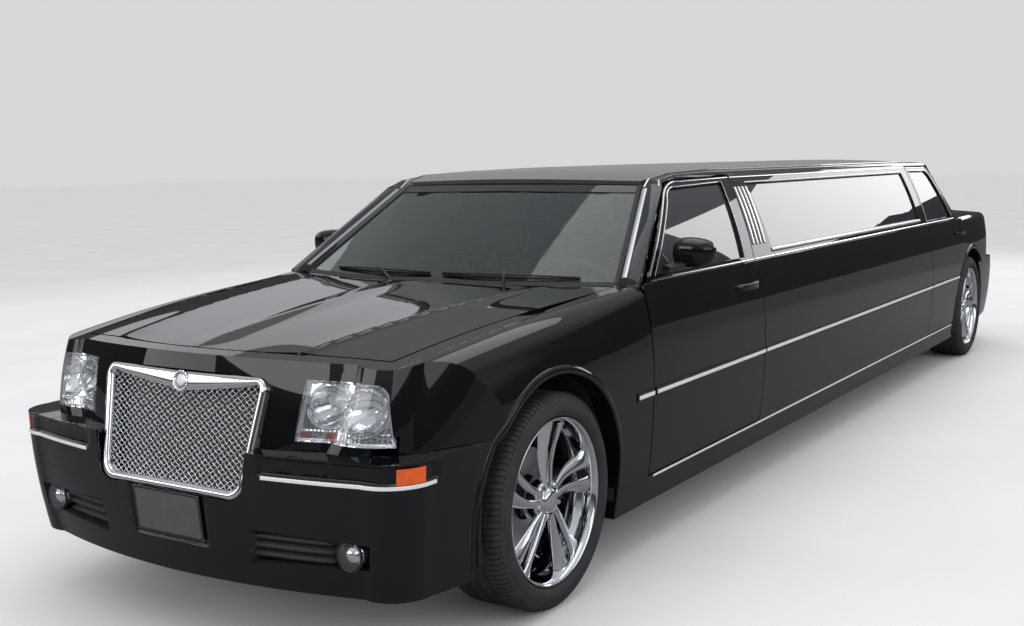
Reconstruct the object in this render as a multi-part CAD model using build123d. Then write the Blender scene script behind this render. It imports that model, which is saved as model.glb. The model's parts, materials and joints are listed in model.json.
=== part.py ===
from build123d import *
import os
from math import sqrt

# Stretch limousine, in millimetres. +X is forward, +Y is the car's left and +Z is up.
# The origin is on the ground, under the middle of the car. A name that ends in _R is a radius.

# Overall
LENGTH = 8047
WHEELBASE = 6096
FRONT_OVERHANG = 880
HALF_WIDTH = 940
WAIST_Z = 700
ROOF_Z = 1483
NOSE_X = LENGTH / 2
TAIL_X = -LENGTH / 2
FRONT_X = NOSE_X - FRONT_OVERHANG
REAR_X = FRONT_X - WHEELBASE

# Side section: two arcs that are upright at the waist
LOWER_SIDE_R = 3130
UPPER_SIDE_R = 1250
SILL_Z = 190
DOOR_BOTTOM_Z = 305
BELT_Z = 1040
PANEL_T = 12
DOOR_T = 96
SKIN_T = 10
DOOR_STEP = 26
STOP_LIP = 10
PANEL_GAP = 7

# Glass house
GLASS_BASE_Y = 884
GLASS_TOP_Y = 696
GLASS_BULGE = 14
RAIL_Z = 1426
RAIL_TOP_Z = 1462
RAIL_IN_Y = 655
HOUSE_T = 40
GLASS_T = 6
GLASS_IN = 12

# Door cuts, as distances from the axles
FRONT_DOOR_FRONT_X = FRONT_X - 700
FRONT_DOOR_REAR_X = FRONT_DOOR_FRONT_X - 1156
REAR_DOOR_FRONT_X = REAR_X + 1175
REAR_DOOR_REAR_X = REAR_X + 205
DOOR_HINGE_IN = 40
DOOR_HINGE_Y = HALF_WIDTH - 24
DOOR_HINGE_ZS = [590, 770]
HINGE_PIN_R = 5
HINGE_ARM_R = 8
HINGE_EYE_R = 9
HINGE_PLAY = 0.3

# Wheels
TYRE_R = 372
TYRE_W = 262
RIM_R = 288
TRACK_HALF = 800
ARCH_R = 436
ARCH_LIP = 9
STEER_AXIS_Y = 745
BEAD_R = 279
HUB_R = 74
DISC_R = 172


def path(start, *steps):
    """Edges through (a, b) corners. A step of two corners is an arc through the first to the second."""
    edges, here = [], start
    for step in steps:
        if isinstance(step[0], tuple):
            edges.append(ThreePointArc(here, step[0], step[1]))
            here = step[1]
        else:
            edges.append(Line(here, step))
            here = step
    return edges, here


def face(start, *steps):
    """A closed flat face through the corners, with a straight closing edge."""
    edges, here = path(start, *steps)
    if abs(here[0] - start[0]) + abs(here[1] - start[1]) > 1e-6:
        edges.append(Line(here, start))
    return make_face(Curve() + edges)


def across(flat, x0, x1):
    """Extrudes a (y, z) face along the car from x0 to x1."""
    return extrude(Plane.YZ.offset(min(x0, x1)) * flat, abs(x1 - x0))


def sideways(flat, y0, y1):
    """Extrudes an (x, z) face across the car from y0 to y1."""
    return extrude(Plane.XZ.offset(-max(y0, y1)) * flat, abs(y1 - y0))


def upwards(flat, z0, z1):
    """Extrudes an (x, y) face from z0 to z1."""
    return extrude(Plane.XY.offset(min(z0, z1)) * flat, abs(z1 - z0))


def block(x0, x1, y0, y1, z0, z1):
    size = (abs(x1 - x0), abs(y1 - y0), abs(z1 - z0))
    return Pos((x0 + x1) / 2, (y0 + y1) / 2, (z0 + z1) / 2) * Box(*size)


def rod(start, end, radius):
    """A round bar between two points."""
    a, b = Vector(*start), Vector(*end)
    return extrude(Plane(a, z_dir=b - a) * Circle(radius), (b - a).length)


def other_side(solid):
    return mirror(solid, about=Plane.XZ)


def side_y(z, width=HALF_WIDTH):
    """Half width of the body side at height z."""
    r = LOWER_SIDE_R if z < WAIST_Z else UPPER_SIDE_R
    return width - r + sqrt(r * r - (z - WAIST_Z) ** 2)


def glass_y(z):
    """Half width of the glass house at height z: an arc that leans inwards."""
    share = (z - BELT_Z) / (RAIL_Z - BELT_Z)
    return GLASS_BASE_Y + (GLASS_TOP_Y - GLASS_BASE_Y) * share + 4 * GLASS_BULGE * share * (1 - share)


def glass_band(z0, z1, outer, thickness):
    """A (y, z) strip that follows the glass house, starting outer millimetres in from its surface."""
    mid = (z0 + z1) / 2
    o, i = outer, outer + thickness
    return face(
        (glass_y(z0) - o, z0),
        ((glass_y(mid) - o, mid), (glass_y(z1) - o, z1)),
        (glass_y(z1) - i, z1),
        ((glass_y(mid) - i, mid), (glass_y(z0) - i, z0)),
    )


# Body sections ahead of and behind the straight middle.
# Columns: distance from the axle, half width, centre height, top arc's end (y, z), shoulder's end (y, z)
FRONT_SECTIONS = [
    (-700, 940, 1052, 842, 1036, 903, 985),
    (-260, 938, 1034, 806, 1004, 903, 930),
    (220, 929, 1000, 776, 962, 893, 880),
    (600, 905, 955, 742, 912, 862, 835),
    (960, 850, 900, 700, 862, 810, 800),
]
REAR_SECTIONS = [
    (205, 940, 1085, 846, 1048, 903, 985),
    (-300, 936, 1088, 826, 1050, 896, 980),
    (-740, 914, 1076, 796, 1042, 870, 965),
    (-1120, 862, 1054, 756, 1022, 812, 935),
]


def body_section(x, width, centre_z, top_y, top_z, shoulder_y, shoulder_z, inset=0):
    """The whole body's section at x, from side to side, or the one inset millimetres inside it."""
    w, base = width - inset, SILL_Z + inset
    sy, sz, ty, tz = shoulder_y - inset, shoulder_z - inset, top_y - inset, top_z - inset
    r = LOWER_SIDE_R
    base_y = w - r + sqrt(r * r - (base - WAIST_Z) ** 2)
    low = (base + WAIST_Z) / 2
    low_y = w - r + sqrt(r * r - (low - WAIST_Z) ** 2)
    mid = (WAIST_Z + sz) / 2
    mid_y = (w + sy) / 2 + (w - sy) * 0.25
    corner_y, corner_z = (sy + ty) / 2 + 0.207 * (sy - ty), (sz + tz) / 2 + 0.207 * (tz - sz)
    crown_z = tz + 0.75 * (centre_z - inset - tz)
    left = [
        ((low_y, low), (w, WAIST_Z)),
        ((mid_y, mid), (sy, sz)),
        ((corner_y, corner_z), (ty, tz)),
        ((ty / 2, crown_z), (0, centre_z - inset)),
    ]
    right = [
        ((-ty / 2, crown_z), (-ty, tz)),
        ((-corner_y, corner_z), (-sy, sz)),
        ((-mid_y, mid), (-w, WAIST_Z)),
        ((-low_y, low), (-base_y, base)),
    ]
    return Plane.YZ.offset(x) * face((base_y, base), *left, *right)


def body_block(table, axle_x, inset=0):
    """A smooth solid through a table of body sections."""
    return loft([body_section(axle_x + row[0], *row[1:], inset=inset) for row in table])


# Plan outlines that close the nose and tail. Columns: height, reach at the middle past the axle,
# reach and half width where the corner starts, reach and half width where it ends
NOSE_LEVELS = [
    (640, 842, 742, 540, 624, 800),
    (780, 812, 704, 600, 588, 795),
    (1040, 754, 612, 600, 490, 773),
]
BUMPER_LEVELS = [
    (225, 840, 745, 690, 620, 845),
    (440, 879, 786, 712, 634, 868),
    (655, 880, 792, 730, 640, 882),
]
TAIL_LEVELS = [
    (640, 1052, 985, 640, 850, 850),
    (1100, 1034, 960, 600, 830, 800),
]
REAR_BUMPER_LEVELS = [
    (235, 1045, 965, 690, 830, 858),
    (440, 1066, 988, 706, 850, 886),
    (690, 1069, 994, 710, 856, 890),
]
FASCIA_TOP_Z = 655
EAR_TOP_Z = 712
REAR_BUMPER_TOP_Z = 690


def plan_level(axle_x, sign, level, back, side, inset=0):
    """A closed plan outline of the nose or tail, back to the station back, with sides of half width side."""
    z, reach, corner_reach, corner_y, side_reach, side_corner_y = level
    x = lambda r: axle_x + sign * (r - inset)
    cy, sy, w = corner_y - inset * 0.7, side_corner_y - inset * 0.9, side - inset
    mx, my = (corner_reach + side_reach) / 2 + 42, (corner_y + side_corner_y) / 2 + 28 - inset * 0.8
    front_bulge = corner_reach + (reach - corner_reach) * 0.75
    back_x = axle_x + sign * back
    side_mid_x = side_reach * 0.5 + back * 0.5
    side_mid_y = (sy + w) / 2 + 9
    flat = face(
        (back_x, w),
        ((x(side_mid_x), side_mid_y), (x(side_reach), sy)),
        ((x(mx), my), (x(corner_reach), cy)),
        ((x(front_bulge), cy / 2), (x(reach), 0)),
        ((x(front_bulge), -cy / 2), (x(corner_reach), -cy)),
        ((x(mx), -my), (x(side_reach), -sy)),
        ((x(side_mid_x), -side_mid_y), (back_x, -w)),
    )
    return Plane.XY.offset(z) * flat


def plan_block(axle_x, sign, levels, back, side, inset=0):
    return loft([plan_level(axle_x, sign, level, back, side, inset) for level in levels])


def arch_cut(axle_x, radius=ARCH_R):
    """The wheel arch as a cylinder across the car, with straight sides below the hub."""
    disc = extrude(Plane.XZ.offset(-1100) * Pos(axle_x, TYRE_R) * Circle(radius), 2200)
    return disc + block(axle_x - radius, axle_x + radius, -1100, 1100, 0, TYRE_R)


def arch_ring(axle_x):
    """The turned-in lip round the left wheel arch, before the arch is cut."""
    reach = ARCH_R + ARCH_LIP
    zone = block(axle_x - 500, axle_x + 500, ARCH_RING_Y, 1000, DOOR_BOTTOM_Z + 1, 900)
    return arch_cut(axle_x, reach) & zone


def front_solid(inset=0):
    """The nose above the bumper and everything back to the front doors, as one solid."""
    trim = plan_block(FRONT_X, 1, NOSE_LEVELS, 300, 930, inset)
    back = block(FRONT_X + 300, FRONT_DOOR_FRONT_X, -1000, 1000, 0, 1200)
    upper = block(FRONT_X + 300, NOSE_X, -1000, 1000, 640, 1200)
    return body_block(FRONT_SECTIONS, FRONT_X, inset) & (back + (trim & upper))


def rear_solid(inset=0):
    """The tail above the bumper and everything forward to the rear doors, as one solid."""
    trim = plan_block(REAR_X, -1, TAIL_LEVELS, 500, 930, inset)
    ahead = block(REAR_X - 500, REAR_DOOR_REAR_X, -1000, 1000, 0, 1200)
    upper = block(REAR_X - 500, TAIL_X, -1000, 1000, 640, 1200)
    return body_block(REAR_SECTIONS, REAR_X, inset) & (ahead + (trim & upper))


# Doors and the fixed sides between them
SEAL_GAP = 10
STEP_IN = 74
POST_OUT_Y = 856
POST_IN_Y = 786
SILL_TOP_Z = 318
DOOR_SWING_R = DOOR_HINGE_IN + 8
SWING_OUT_Y = DOOR_HINGE_Y + 10
HOOD_CORNER_ROOM = 12
SILL_IN_Y = 780
REAR_DOOR_ARCH_R = ARCH_R + 34
HANDLE_Z = 942
HANDLE_L = 230
FLANGE_T = 12

# Outlines in the side view, as corners and arcs of (x, z)
FRONT_FRAME = [
    (FRONT_DOOR_REAR_X + 9, BELT_Z - 30),
    (2442, BELT_Z - 30),
    (1952, 1362),
    ((1872, 1402), (1740, 1419)),
    (FRONT_DOOR_REAR_X - 121, RAIL_Z),
]
FRONT_WINDOW = [
    (FRONT_DOOR_REAR_X + 105, 1064),
    (2296, 1064),
    (1925, 1332),
    ((1880, 1368), (1790, 1386)),
    (FRONT_DOOR_REAR_X - 4, 1397),
]
REAR_FRAME = [
    (REAR_DOOR_FRONT_X + 9, BELT_Z - 30),
    (REAR_DOOR_FRONT_X - 115, RAIL_Z),
    (-2340, 1421),
    ((-2425, 1400), (-2452, 1350)),
    (-2549, BELT_Z - 30),
]
REAR_WINDOW = [
    (REAR_DOOR_FRONT_X - 45, 1064),
    (REAR_DOOR_FRONT_X - 148, 1397),
    (-2310, 1391),
    ((-2382, 1374), (-2406, 1330)),
    (-2492, 1064),
]
LONG_WINDOW = [(-1665, 1087), (1030, 1087), (996, 1388), (-1735, 1388)]


def side_strip(z0, z1, depth0, depth1):
    """A (y, z) strip between two depths below the body side, from z0 to z1."""
    stops = [z0] + [WAIST_Z] * (z0 < WAIST_Z < z1) + [z1]
    steps = []
    for a, b in zip(stops, stops[1:]):
        mid = (a + b) / 2
        steps.append(((side_y(mid) - depth0, mid), (side_y(b) - depth0, b)))
    steps.append((side_y(z1) - depth1, z1))
    for a, b in zip(stops[::-1], stops[-2::-1]):
        mid = (a + b) / 2
        steps.append(((side_y(mid) - depth1, mid), (side_y(b) - depth1, b)))
    return face((side_y(z0) - depth0, z0), *steps)


def side_prism(corners, margin=0, y0=500, y1=1000):
    """A prism across the car through an outline in the side view, shrunk all round by margin."""
    flat = face(*corners)
    if margin:
        flat = offset(flat, -margin, kind=Kind.INTERSECTION)
    return sideways(flat, y0, y1)


def house_slab(x0, x1, depth0=0, depth1=HOUSE_T, z0=BELT_Z, z1=RAIL_Z):
    return across(glass_band(z0, z1, depth0, depth1 - depth0), x0, x1)


def hinge_axis_x(front_x):
    return front_x - DOOR_HINGE_IN


def make_door(front_x, rear_x, frame, window, handle_x):
    """Outer panel, the thicker body behind it, the window frame, hinge eyes and the handle."""
    gap = PANEL_GAP / 2
    skin = across(side_strip(DOOR_BOTTOM_Z, BELT_Z, 0, SKIN_T), rear_x + gap, front_x - gap)
    core = across(
        side_strip(DOOR_BOTTOM_Z + DOOR_STEP, BELT_Z, SKIN_T, DOOR_T),
        rear_x + DOOR_STEP + gap,
        front_x - STEP_IN,
    )
    x0, x1 = rear_x - 200, front_x + 200
    flange = house_slab(x0, x1, 0, FLANGE_T) & side_prism(frame, gap)
    inner_frame = house_slab(x0, x1, FLANGE_T, HOUSE_T) & side_prism(frame, DOOR_STEP * 0.6)
    door = skin + core + flange + inner_frame - side_prism(window)
    axis_x = hinge_axis_x(front_x)
    for z in DOOR_HINGE_ZS:
        eye = Pos(axis_x, DOOR_HINGE_Y, z) * Cylinder(HINGE_EYE_R, 30)
        tab = block(axis_x - 8, axis_x + 8, DOOR_HINGE_Y, side_y(z) - SKIN_T + 2, z - 15, z + 15)
        bore = Pos(axis_x, DOOR_HINGE_Y, z) * Cylinder(HINGE_PIN_R + HINGE_PLAY, 40)
        door = door + eye + tab - bore
    return door + make_handle(handle_x)


def make_handle(x):
    """A bow handle that stands off the door panel on two feet."""
    y = side_y(HANDLE_Z)
    half = HANDLE_L / 2
    bow = face(
        (x - half, y - 4),
        (x - half + 8, y + 16),
        ((x, y + 30), (x + half - 8, y + 16)),
        (x + half, y - 4),
        (x + half - 26, y - 4),
        (x + half - 34, y + 7),
        ((x, y + 18), (x - half + 34, y + 7)),
        (x - half + 26, y - 4),
    )
    return upwards(bow, HANDLE_Z - 13, HANDLE_Z + 13)


def make_door_glass(window, front_x, rear_x):
    slab = house_slab(rear_x - 200, front_x + 200, GLASS_IN, GLASS_IN + GLASS_T)
    return slab & side_prism(window)


def make_hinge_arms(front_x):
    """The fixed pins of a door's hinges, with arms above and below each of the door's eyes."""
    axis_x = hinge_axis_x(front_x)
    arms = []
    for z in DOOR_HINGE_ZS:
        pin = Pos(axis_x, DOOR_HINGE_Y, z) * Cylinder(HINGE_PIN_R, 56)
        for side in (-1, 1):
            low = z + side * 22 - 6
            tip = Pos(axis_x, DOOR_HINGE_Y, low + 6) * Cylinder(HINGE_ARM_R, 12)
            bar = block(axis_x - 8, axis_x + 8, POST_IN_Y, DOOR_HINGE_Y, low, low + 12)
            arms += [tip, bar]
        arms.append(pin)
    return arms


RAIL_SECTIONS = [
    (2446, (886, 1034), (880, 1044), (797, 1046), (770, 1018), (845, 996)),
    (1930, (726, 1389), (716, 1401), (635, 1396), (604, 1362), (668, 1346)),
    (1884, (702, 1412), (691, 1424), (633, 1427), (604, 1395), (656, 1376)),
    (1740, (694, 1428), (684, 1441), (646, 1449), (620, 1425), (652, 1400)),
    (1300, (692, 1432), (681, 1450), (RAIL_IN_Y, RAIL_TOP_Z), (632, 1445), (648, 1408)),
    (-1900, (692, 1432), (681, 1450), (RAIL_IN_Y, RAIL_TOP_Z), (632, 1445), (648, 1408)),
    (-2452, (697, 1430), (684, 1444), (642, 1448), (616, 1428), (650, 1404)),
]


def make_rail():
    """The roof's side rail, which runs down into the windscreen pillar."""
    sections = []
    for x, low_out, high_out, high_in, inside, low_in in RAIL_SECTIONS:
        sections.append(Plane.YZ.offset(x) * face(low_out, high_out, high_in, inside, low_in))
    return loft(sections, ruled=True)


def make_body_side():
    """The fixed left side: sill, posts, stretched wall with its long window opening, rail and pillar."""
    gap = PANEL_GAP / 2
    sill_section = face(
        (side_y(SILL_Z), SILL_Z),
        (side_y(DOOR_BOTTOM_Z - PANEL_GAP), DOOR_BOTTOM_Z - PANEL_GAP),
        (side_y(DOOR_BOTTOM_Z) - SKIN_T - 8, DOOR_BOTTOM_Z - PANEL_GAP),
        (side_y(DOOR_BOTTOM_Z) - SKIN_T - 8, SILL_TOP_Z),
        (SILL_IN_Y, SILL_TOP_Z),
        (SILL_IN_Y, SILL_Z),
    )
    sill = across(sill_section, FRONT_X - ARCH_R - ARCH_LIP, REAR_X + ARCH_R + ARCH_LIP)
    wall_x0, wall_x1 = REAR_DOOR_FRONT_X + gap, FRONT_DOOR_REAR_X - gap
    wall = across(side_strip(SILL_TOP_Z - 20, BELT_Z, 0, DOOR_T), wall_x0, wall_x1)
    lip = across(
        side_strip(SILL_TOP_Z - 10, BELT_Z, SKIN_T + 6, DOOR_T), wall_x1 - 10, wall_x1 + gap + STOP_LIP
    )
    house_outline = [
        (REAR_DOOR_FRONT_X + gap, BELT_Z - 1),
        (FRONT_DOOR_REAR_X - gap, BELT_Z - 1),
        (FRONT_DOOR_REAR_X - SEAL_GAP + gap, BELT_Z + 4),
        (FRONT_DOOR_REAR_X - 121 - SEAL_GAP + gap, RAIL_Z + 9),
        (REAR_DOOR_FRONT_X - 115 + SEAL_GAP - gap, RAIL_Z + 9),
        (REAR_DOOR_FRONT_X + SEAL_GAP - gap, BELT_Z + 4),
    ]
    house = house_slab(wall_x0 - 200, wall_x1, 0, HOUSE_T, BELT_Z - 1, RAIL_Z + 9)
    house = (house & side_prism(house_outline)) - side_prism(LONG_WINDOW)
    side = sill + wall + lip + house + make_rail()
    for front_x, post_front in ((FRONT_DOOR_FRONT_X, 60), (REAR_DOOR_FRONT_X, 10)):
        axis_x = hinge_axis_x(front_x)
        post = block(axis_x - 18, front_x + post_front, POST_IN_Y, POST_OUT_Y, SILL_TOP_Z - 5, BELT_Z - 40)
        side = side + post
        for arm in make_hinge_arms(front_x):
            side = side + arm
        side = side - block(axis_x - 10, front_x + 2, 864, 900, DOOR_BOTTOM_Z - 2, SILL_TOP_Z + 2)
        swing = Pos(axis_x, DOOR_HINGE_Y, WAIST_Z) * Cylinder(DOOR_SWING_R, 400)
        zone = block(front_x, front_x + 20, POST_OUT_Y, SWING_OUT_Y, WAIST_Z - 160, WAIST_Z + 110)
        side = side - (swing & zone)
    return side - block(FRONT_DOOR_FRONT_X - 30, FRONT_DOOR_FRONT_X, 870, 1000, 900, BELT_Z + 5)


def make_long_window():
    slab = house_slab(-1800, 1100, GLASS_IN, GLASS_IN + GLASS_T)
    return slab & side_prism(LONG_WINDOW)


# Roof and main windows
ROOF_T = 22
ROOF_SECTIONS = [
    (1985, 596, 1404, 1428),
    (1740, 644, 1448, 1464),
    (1300, RAIL_IN_Y, RAIL_TOP_Z, 1480),
    (600, RAIL_IN_Y, RAIL_TOP_Z, ROOF_Z),
    (-1900, RAIL_IN_Y, RAIL_TOP_Z, ROOF_Z),
    (-2440, 642, 1448, 1468),
    (-2760, 592, 1410, 1434),
]
SCREEN_T = 8
# Windscreen and rear window, at two heights: height, corner (x, y), centre x
WINDSCREEN = [(1024, 2454, 797, 2648), (1418, 1876, 613, 1950)]
BACKLIGHT = [(1062, -3172, 706, -3292), (1432, -2622, 598, -2692)]


def make_roof():
    sections = []
    for x, y, z, top in ROOF_SECTIONS:
        low = z - ROOF_T
        flat = face((y, z), ((0, top), (-y, z)), (-y, low), ((0, top - ROOF_T), (y, low)))
        sections.append(Plane.YZ.offset(x) * flat)
    roof = loft(sections, ruled=True)
    outline = face(
        (1884, 700), ((1962, 0), (1884, -700)), (-2628, -700), ((-2704, 0), (-2628, 700))
    )
    return roof & upwards(outline, 1300, 1500)


def make_screen(table, thickness=SCREEN_T, grow=0):
    """A curved window between two heights, as a ruled sheet."""
    sections = []
    for z, x, y, middle in table:
        inward = -1 if x > 0 else 1
        t = inward * thickness
        w = y + grow
        flat = face((x, w), ((middle, 0), (x, -w)), (x + t, -w), ((middle + t, 0), (x + t, w)))
        sections.append(Plane.XY.offset(z) * flat)
    return loft(sections, ruled=True)


# Front end
HOOD_FRONT_Y = 694
HOOD_REAR_Y = 796
HOOD_NOSE_X = FRONT_X + 726
HOOD_CORNER_X = FRONT_X + 585
HOOD_REAR_X = FRONT_X - 640
HOOD_REAR_MID_X = FRONT_X - 445
HOOD_GAP = 7
HOOD_FRAME_T = 18
HOOD_FRAME_W = 110
NOSE_CAP_Y = 436
HOOD_HINGE_X = HOOD_REAR_X - 10
HOOD_HINGE_Z = 982
HOOD_HINGE_Y = 745
LAMP_DEPTH = 110
LAMP_GAP = 0.5
LENS_T = 4
FASCIA_T = 12
COWL_Z = 1002


def hood_outline(grow=0):
    """The hood from above: sides that widen backwards, a curved nose and a curved rear edge."""
    g = grow
    front, corner = HOOD_NOSE_X + g, HOOD_CORNER_X + g
    rear = HOOD_REAR_X - g
    return face(
        (rear, HOOD_REAR_Y + g),
        (corner, HOOD_FRONT_Y + g),
        (FRONT_X + 655 + g, NOSE_CAP_Y + g),
        ((front, 0), (FRONT_X + 655 + g, -NOSE_CAP_Y - g)),
        (corner, -HOOD_FRONT_Y - g),
        (rear, -HOOD_REAR_Y - g),
        ((HOOD_REAR_MID_X - g, 0), (rear, HOOD_REAR_Y + g)),
    )


def lamp_prism(grow=0):
    """Space of a headlamp, seen from ahead, with its rounded outer top corner."""
    flat = face(
        (454 - grow, 686 - grow),
        (764 + grow, 680 - grow),
        (744 + grow, 818),
        ((728 + grow, 852 + grow), (690, 864 + grow)),
        (472 - grow, 870 + grow),
    )
    return across(flat, FRONT_X + 470 - grow, NOSE_X)


def make_hood(shell, under_solid, under_shell):
    inside = upwards(hood_outline(-HOOD_GAP / 2), 700, 1200)
    frame_zone = upwards(hood_outline(-60), 700, 1200)
    frame_zone = frame_zone - upwards(hood_outline(-60 - HOOD_FRAME_W), 700, 1200)
    nose = block(FRONT_X + 560, NOSE_X, -800, 800, 600, 1100)
    hood = (shell & inside) + ((under_shell & frame_zone) - nose)
    hood = hood - lamp_prism(HOOD_GAP) - other_side(lamp_prism(HOOD_GAP)) - grille_block(8)
    for side in (-1, 1):
        y = side * HOOD_HINGE_Y
        px, pz = HOOD_HINGE_X, HOOD_HINGE_Z
        arm = face(
            (px - 8, pz - 8), (px + 90, pz - 8), (px + 90, pz + 58), (px + 56, pz + 58),
            (px + 13, pz + 11), (px - 8, pz + 6),
        )
        arm = sideways(arm, y - 9, y + 9) & under_solid
        eye = Pos(HOOD_HINGE_X, y, HOOD_HINGE_Z) * Rot(90, 0, 0) * Cylinder(14, 18)
        bore = Pos(HOOD_HINGE_X, y, HOOD_HINGE_Z) * Rot(90, 0, 0) * Cylinder(HINGE_PIN_R + HINGE_PLAY, 30)
        hood = hood + arm + eye - bore
    return hood


# Grille: a leaning rounded frame with a crossed mesh. Local x runs across the car, local y up its face
GRILLE_LOW = (FRONT_X + 868, 500)
GRILLE_HIGH = (FRONT_X + 776, 872)
GRILLE_TOP_Y = 366
GRILLE_LOW_Y = 318
GRILLE_R = 62
GRILLE_RIM = 27
GRILLE_DEPTH = 70
MESH_T = 8
MESH_BAR = 9
MESH_PITCH_Y = 56
MESH_PITCH_Z = 44


def grille_plane(lift=0):
    """A plane on the grille's face. Its x axis runs to the car's left and its y axis up the lean."""
    dx, dz = GRILLE_HIGH[0] - GRILLE_LOW[0], GRILLE_HIGH[1] - GRILLE_LOW[1]
    up = Vector(dx, 0, dz).normalized()
    out = Vector(dz, 0, -dx).normalized()
    origin = Vector(GRILLE_LOW[0], 0, GRILLE_LOW[1]) + out * lift
    return Plane(origin, x_dir=(0, 1, 0), z_dir=out)


def grille_height():
    return sqrt((GRILLE_HIGH[0] - GRILLE_LOW[0]) ** 2 + (GRILLE_HIGH[1] - GRILLE_LOW[1]) ** 2)


def grille_outline(margin):
    h = grille_height()
    flat = face(
        (GRILLE_LOW_Y - margin, margin),
        (GRILLE_TOP_Y - margin, h - margin),
        (-GRILLE_TOP_Y + margin, h - margin),
        (-GRILLE_LOW_Y + margin, margin),
    )
    return fillet(flat.vertices(), max(GRILLE_R - margin, 12))


def grille_block(grow=0):
    """The space the grille takes in the nose and bumper."""
    return extrude(grille_plane(40) * grille_outline(-grow), -170)


def make_grille():
    rim = grille_outline(0) - grille_outline(GRILLE_RIM)
    frame = extrude(grille_plane(0) * rim, -GRILLE_DEPTH)
    h = grille_height()
    a, b = MESH_PITCH_Y / 2 - MESH_BAR * 0.8, MESH_PITCH_Z / 2 - MESH_BAR * 0.6
    diamond = face((a, 0), (0, b), (-a, 0), (0, -b))
    holes = []
    for row in range(int(2 * h / MESH_PITCH_Z)):
        y = row * MESH_PITCH_Z / 2
        width = GRILLE_LOW_Y + (GRILLE_TOP_Y - GRILLE_LOW_Y) * y / h - GRILLE_RIM - a
        shift = MESH_PITCH_Y / 2 * (row % 2)
        if y - b < GRILLE_RIM or y + b > h - GRILLE_RIM:
            continue
        for column in range(-8, 9):
            x = column * MESH_PITCH_Y + shift
            if abs(x) < width:
                holes.append(Pos(x, y) * diamond)
    sheet = grille_outline(GRILLE_RIM - 2) - holes
    mesh = extrude(grille_plane(-14) * sheet, -MESH_T)
    badge = extrude(grille_plane(8) * (Pos(0, h - 34) * Circle(33)), -30)
    return frame + mesh + badge


def make_nose_panel(shell):
    """The fixed panel between the lamps, round the grille and ahead of the hood's seam."""
    zone = block(FRONT_X + 470, NOSE_X, -705, 705, FASCIA_TOP_Z, 1000)
    panel = (shell & zone) - upwards(hood_outline(HOOD_GAP / 2), 700, 1200)
    panel = panel - lamp_prism(LAMP_GAP) - other_side(lamp_prism(LAMP_GAP)) - grille_block(1)
    return panel


def make_fender(shell):
    """The left front fender, from the lamp to the door, with the lip of its wheel arch."""
    zone = block(FRONT_DOOR_FRONT_X + PANEL_GAP / 2, NOSE_X, 0, 1000, DOOR_BOTTOM_Z - PANEL_GAP, 1200)
    fender = (shell & zone) - upwards(hood_outline(HOOD_GAP / 2), 700, 1200)
    fender = fender + (arch_ring(FRONT_X) & front_solid(2)) - arch_cut(FRONT_X)
    fender = fender - block(FRONT_X, NOSE_X, 0, 1000, 0, EAR_TOP_Z)
    fender = fender - block(FRONT_X + 470, NOSE_X, 0, 705, 0, 1000)
    fender = fender - block(0, FRONT_DOOR_FRONT_X + 700, 0, 790, 990, 1200)
    fender = fender - block(0, HOOD_REAR_X + HOOD_CORNER_ROOM, 0, HOOD_REAR_Y + 6, 990, 1200)
    return fender - lamp_prism(LAMP_GAP)


def front_bumper_block(inset=0):
    return plan_block(FRONT_X, 1, BUMPER_LEVELS, 180, 908, inset)


def make_front_bumper(nose_shell):
    """The bumper cover with its ledge, the ears beside the lamps and the two lower pockets."""
    outer, inner, deep = front_bumper_block(), front_bumper_block(FASCIA_T), front_bumper_block(POCKET_DEPTH)
    ledge_zone = block(FRONT_X + 180, NOSE_X, -1000, 1000, FASCIA_TOP_Z - 14, FASCIA_TOP_Z)
    ledge = (outer & ledge_zone) - front_bumper_block(95)
    ears = nose_shell & block(FRONT_X + 180, FRONT_X + 700, -1000, 1000, FASCIA_TOP_Z - 8, EAR_TOP_Z)
    ears = ears - block(FRONT_X, NOSE_X, -772, 772, 0, 1000)
    bumper = (outer - inner) + ledge + ears - arch_cut(FRONT_X) - grille_block(1)
    bumper = bumper - block(FRONT_X + 800, NOSE_X + 20, -320, 320, 600, FASCIA_TOP_Z + 1)
    left, left_hole = pocket_prism(0), pocket_prism(-POCKET_WALL)
    tray = (left & inner) - deep - (left_hole - front_bumper_block(POCKET_DEPTH - POCKET_WALL))
    slats = []
    for z in POCKET_SLATS:
        bar = block(FRONT_X + 440, NOSE_X, 300, 600, z - 6, z + 6) & left_hole & front_bumper_block(20)
        slats.append(bar - deep)
    for pocket, hole in ((tray, left_hole), (other_side(tray), other_side(left_hole))):
        bumper = bumper - hole + pocket
    for bar in slats:
        bumper = bumper + bar + other_side(bar)
    return bumper


def pocket_prism(grow=0):
    """The left lower pocket that holds a fog lamp, seen from ahead."""
    flat = face(
        (318 - grow, 300 - grow),
        (740 + grow, 318 - grow),
        (752 + grow, 412 + grow),
        (330 - grow, 424 + grow),
    )
    return across(flat, FRONT_X + 440, NOSE_X + 40)


POCKET_DEPTH = 70
POCKET_WALL = 6
POCKET_SLATS = [332, 362, 392]
FOG_X = FRONT_X + 694
FOG_L = 88
FOG_Y = 668
FOG_Z = 366
FOG_R = 42


def make_front_lamps(solid, lens_back):
    """Both headlamp bowls, open ahead behind their lenses, and the two fog lamps."""
    bowl = (lamp_prism() & lens_back) - Pos(-LAMP_DEPTH, 0, 0) * solid
    bowl = bowl - (lamp_prism(-9) - Pos(-LAMP_DEPTH + 12, 0, 0) * solid)
    lamps = bowl + other_side(bowl)
    fog = extrude(Plane.YZ.offset(FOG_X) * Pos(FOG_Y, FOG_Z) * Circle(FOG_R), FOG_L)
    fog = fog - front_bumper_block(POCKET_DEPTH - POCKET_WALL)
    return lamps + fog + other_side(fog)


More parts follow.
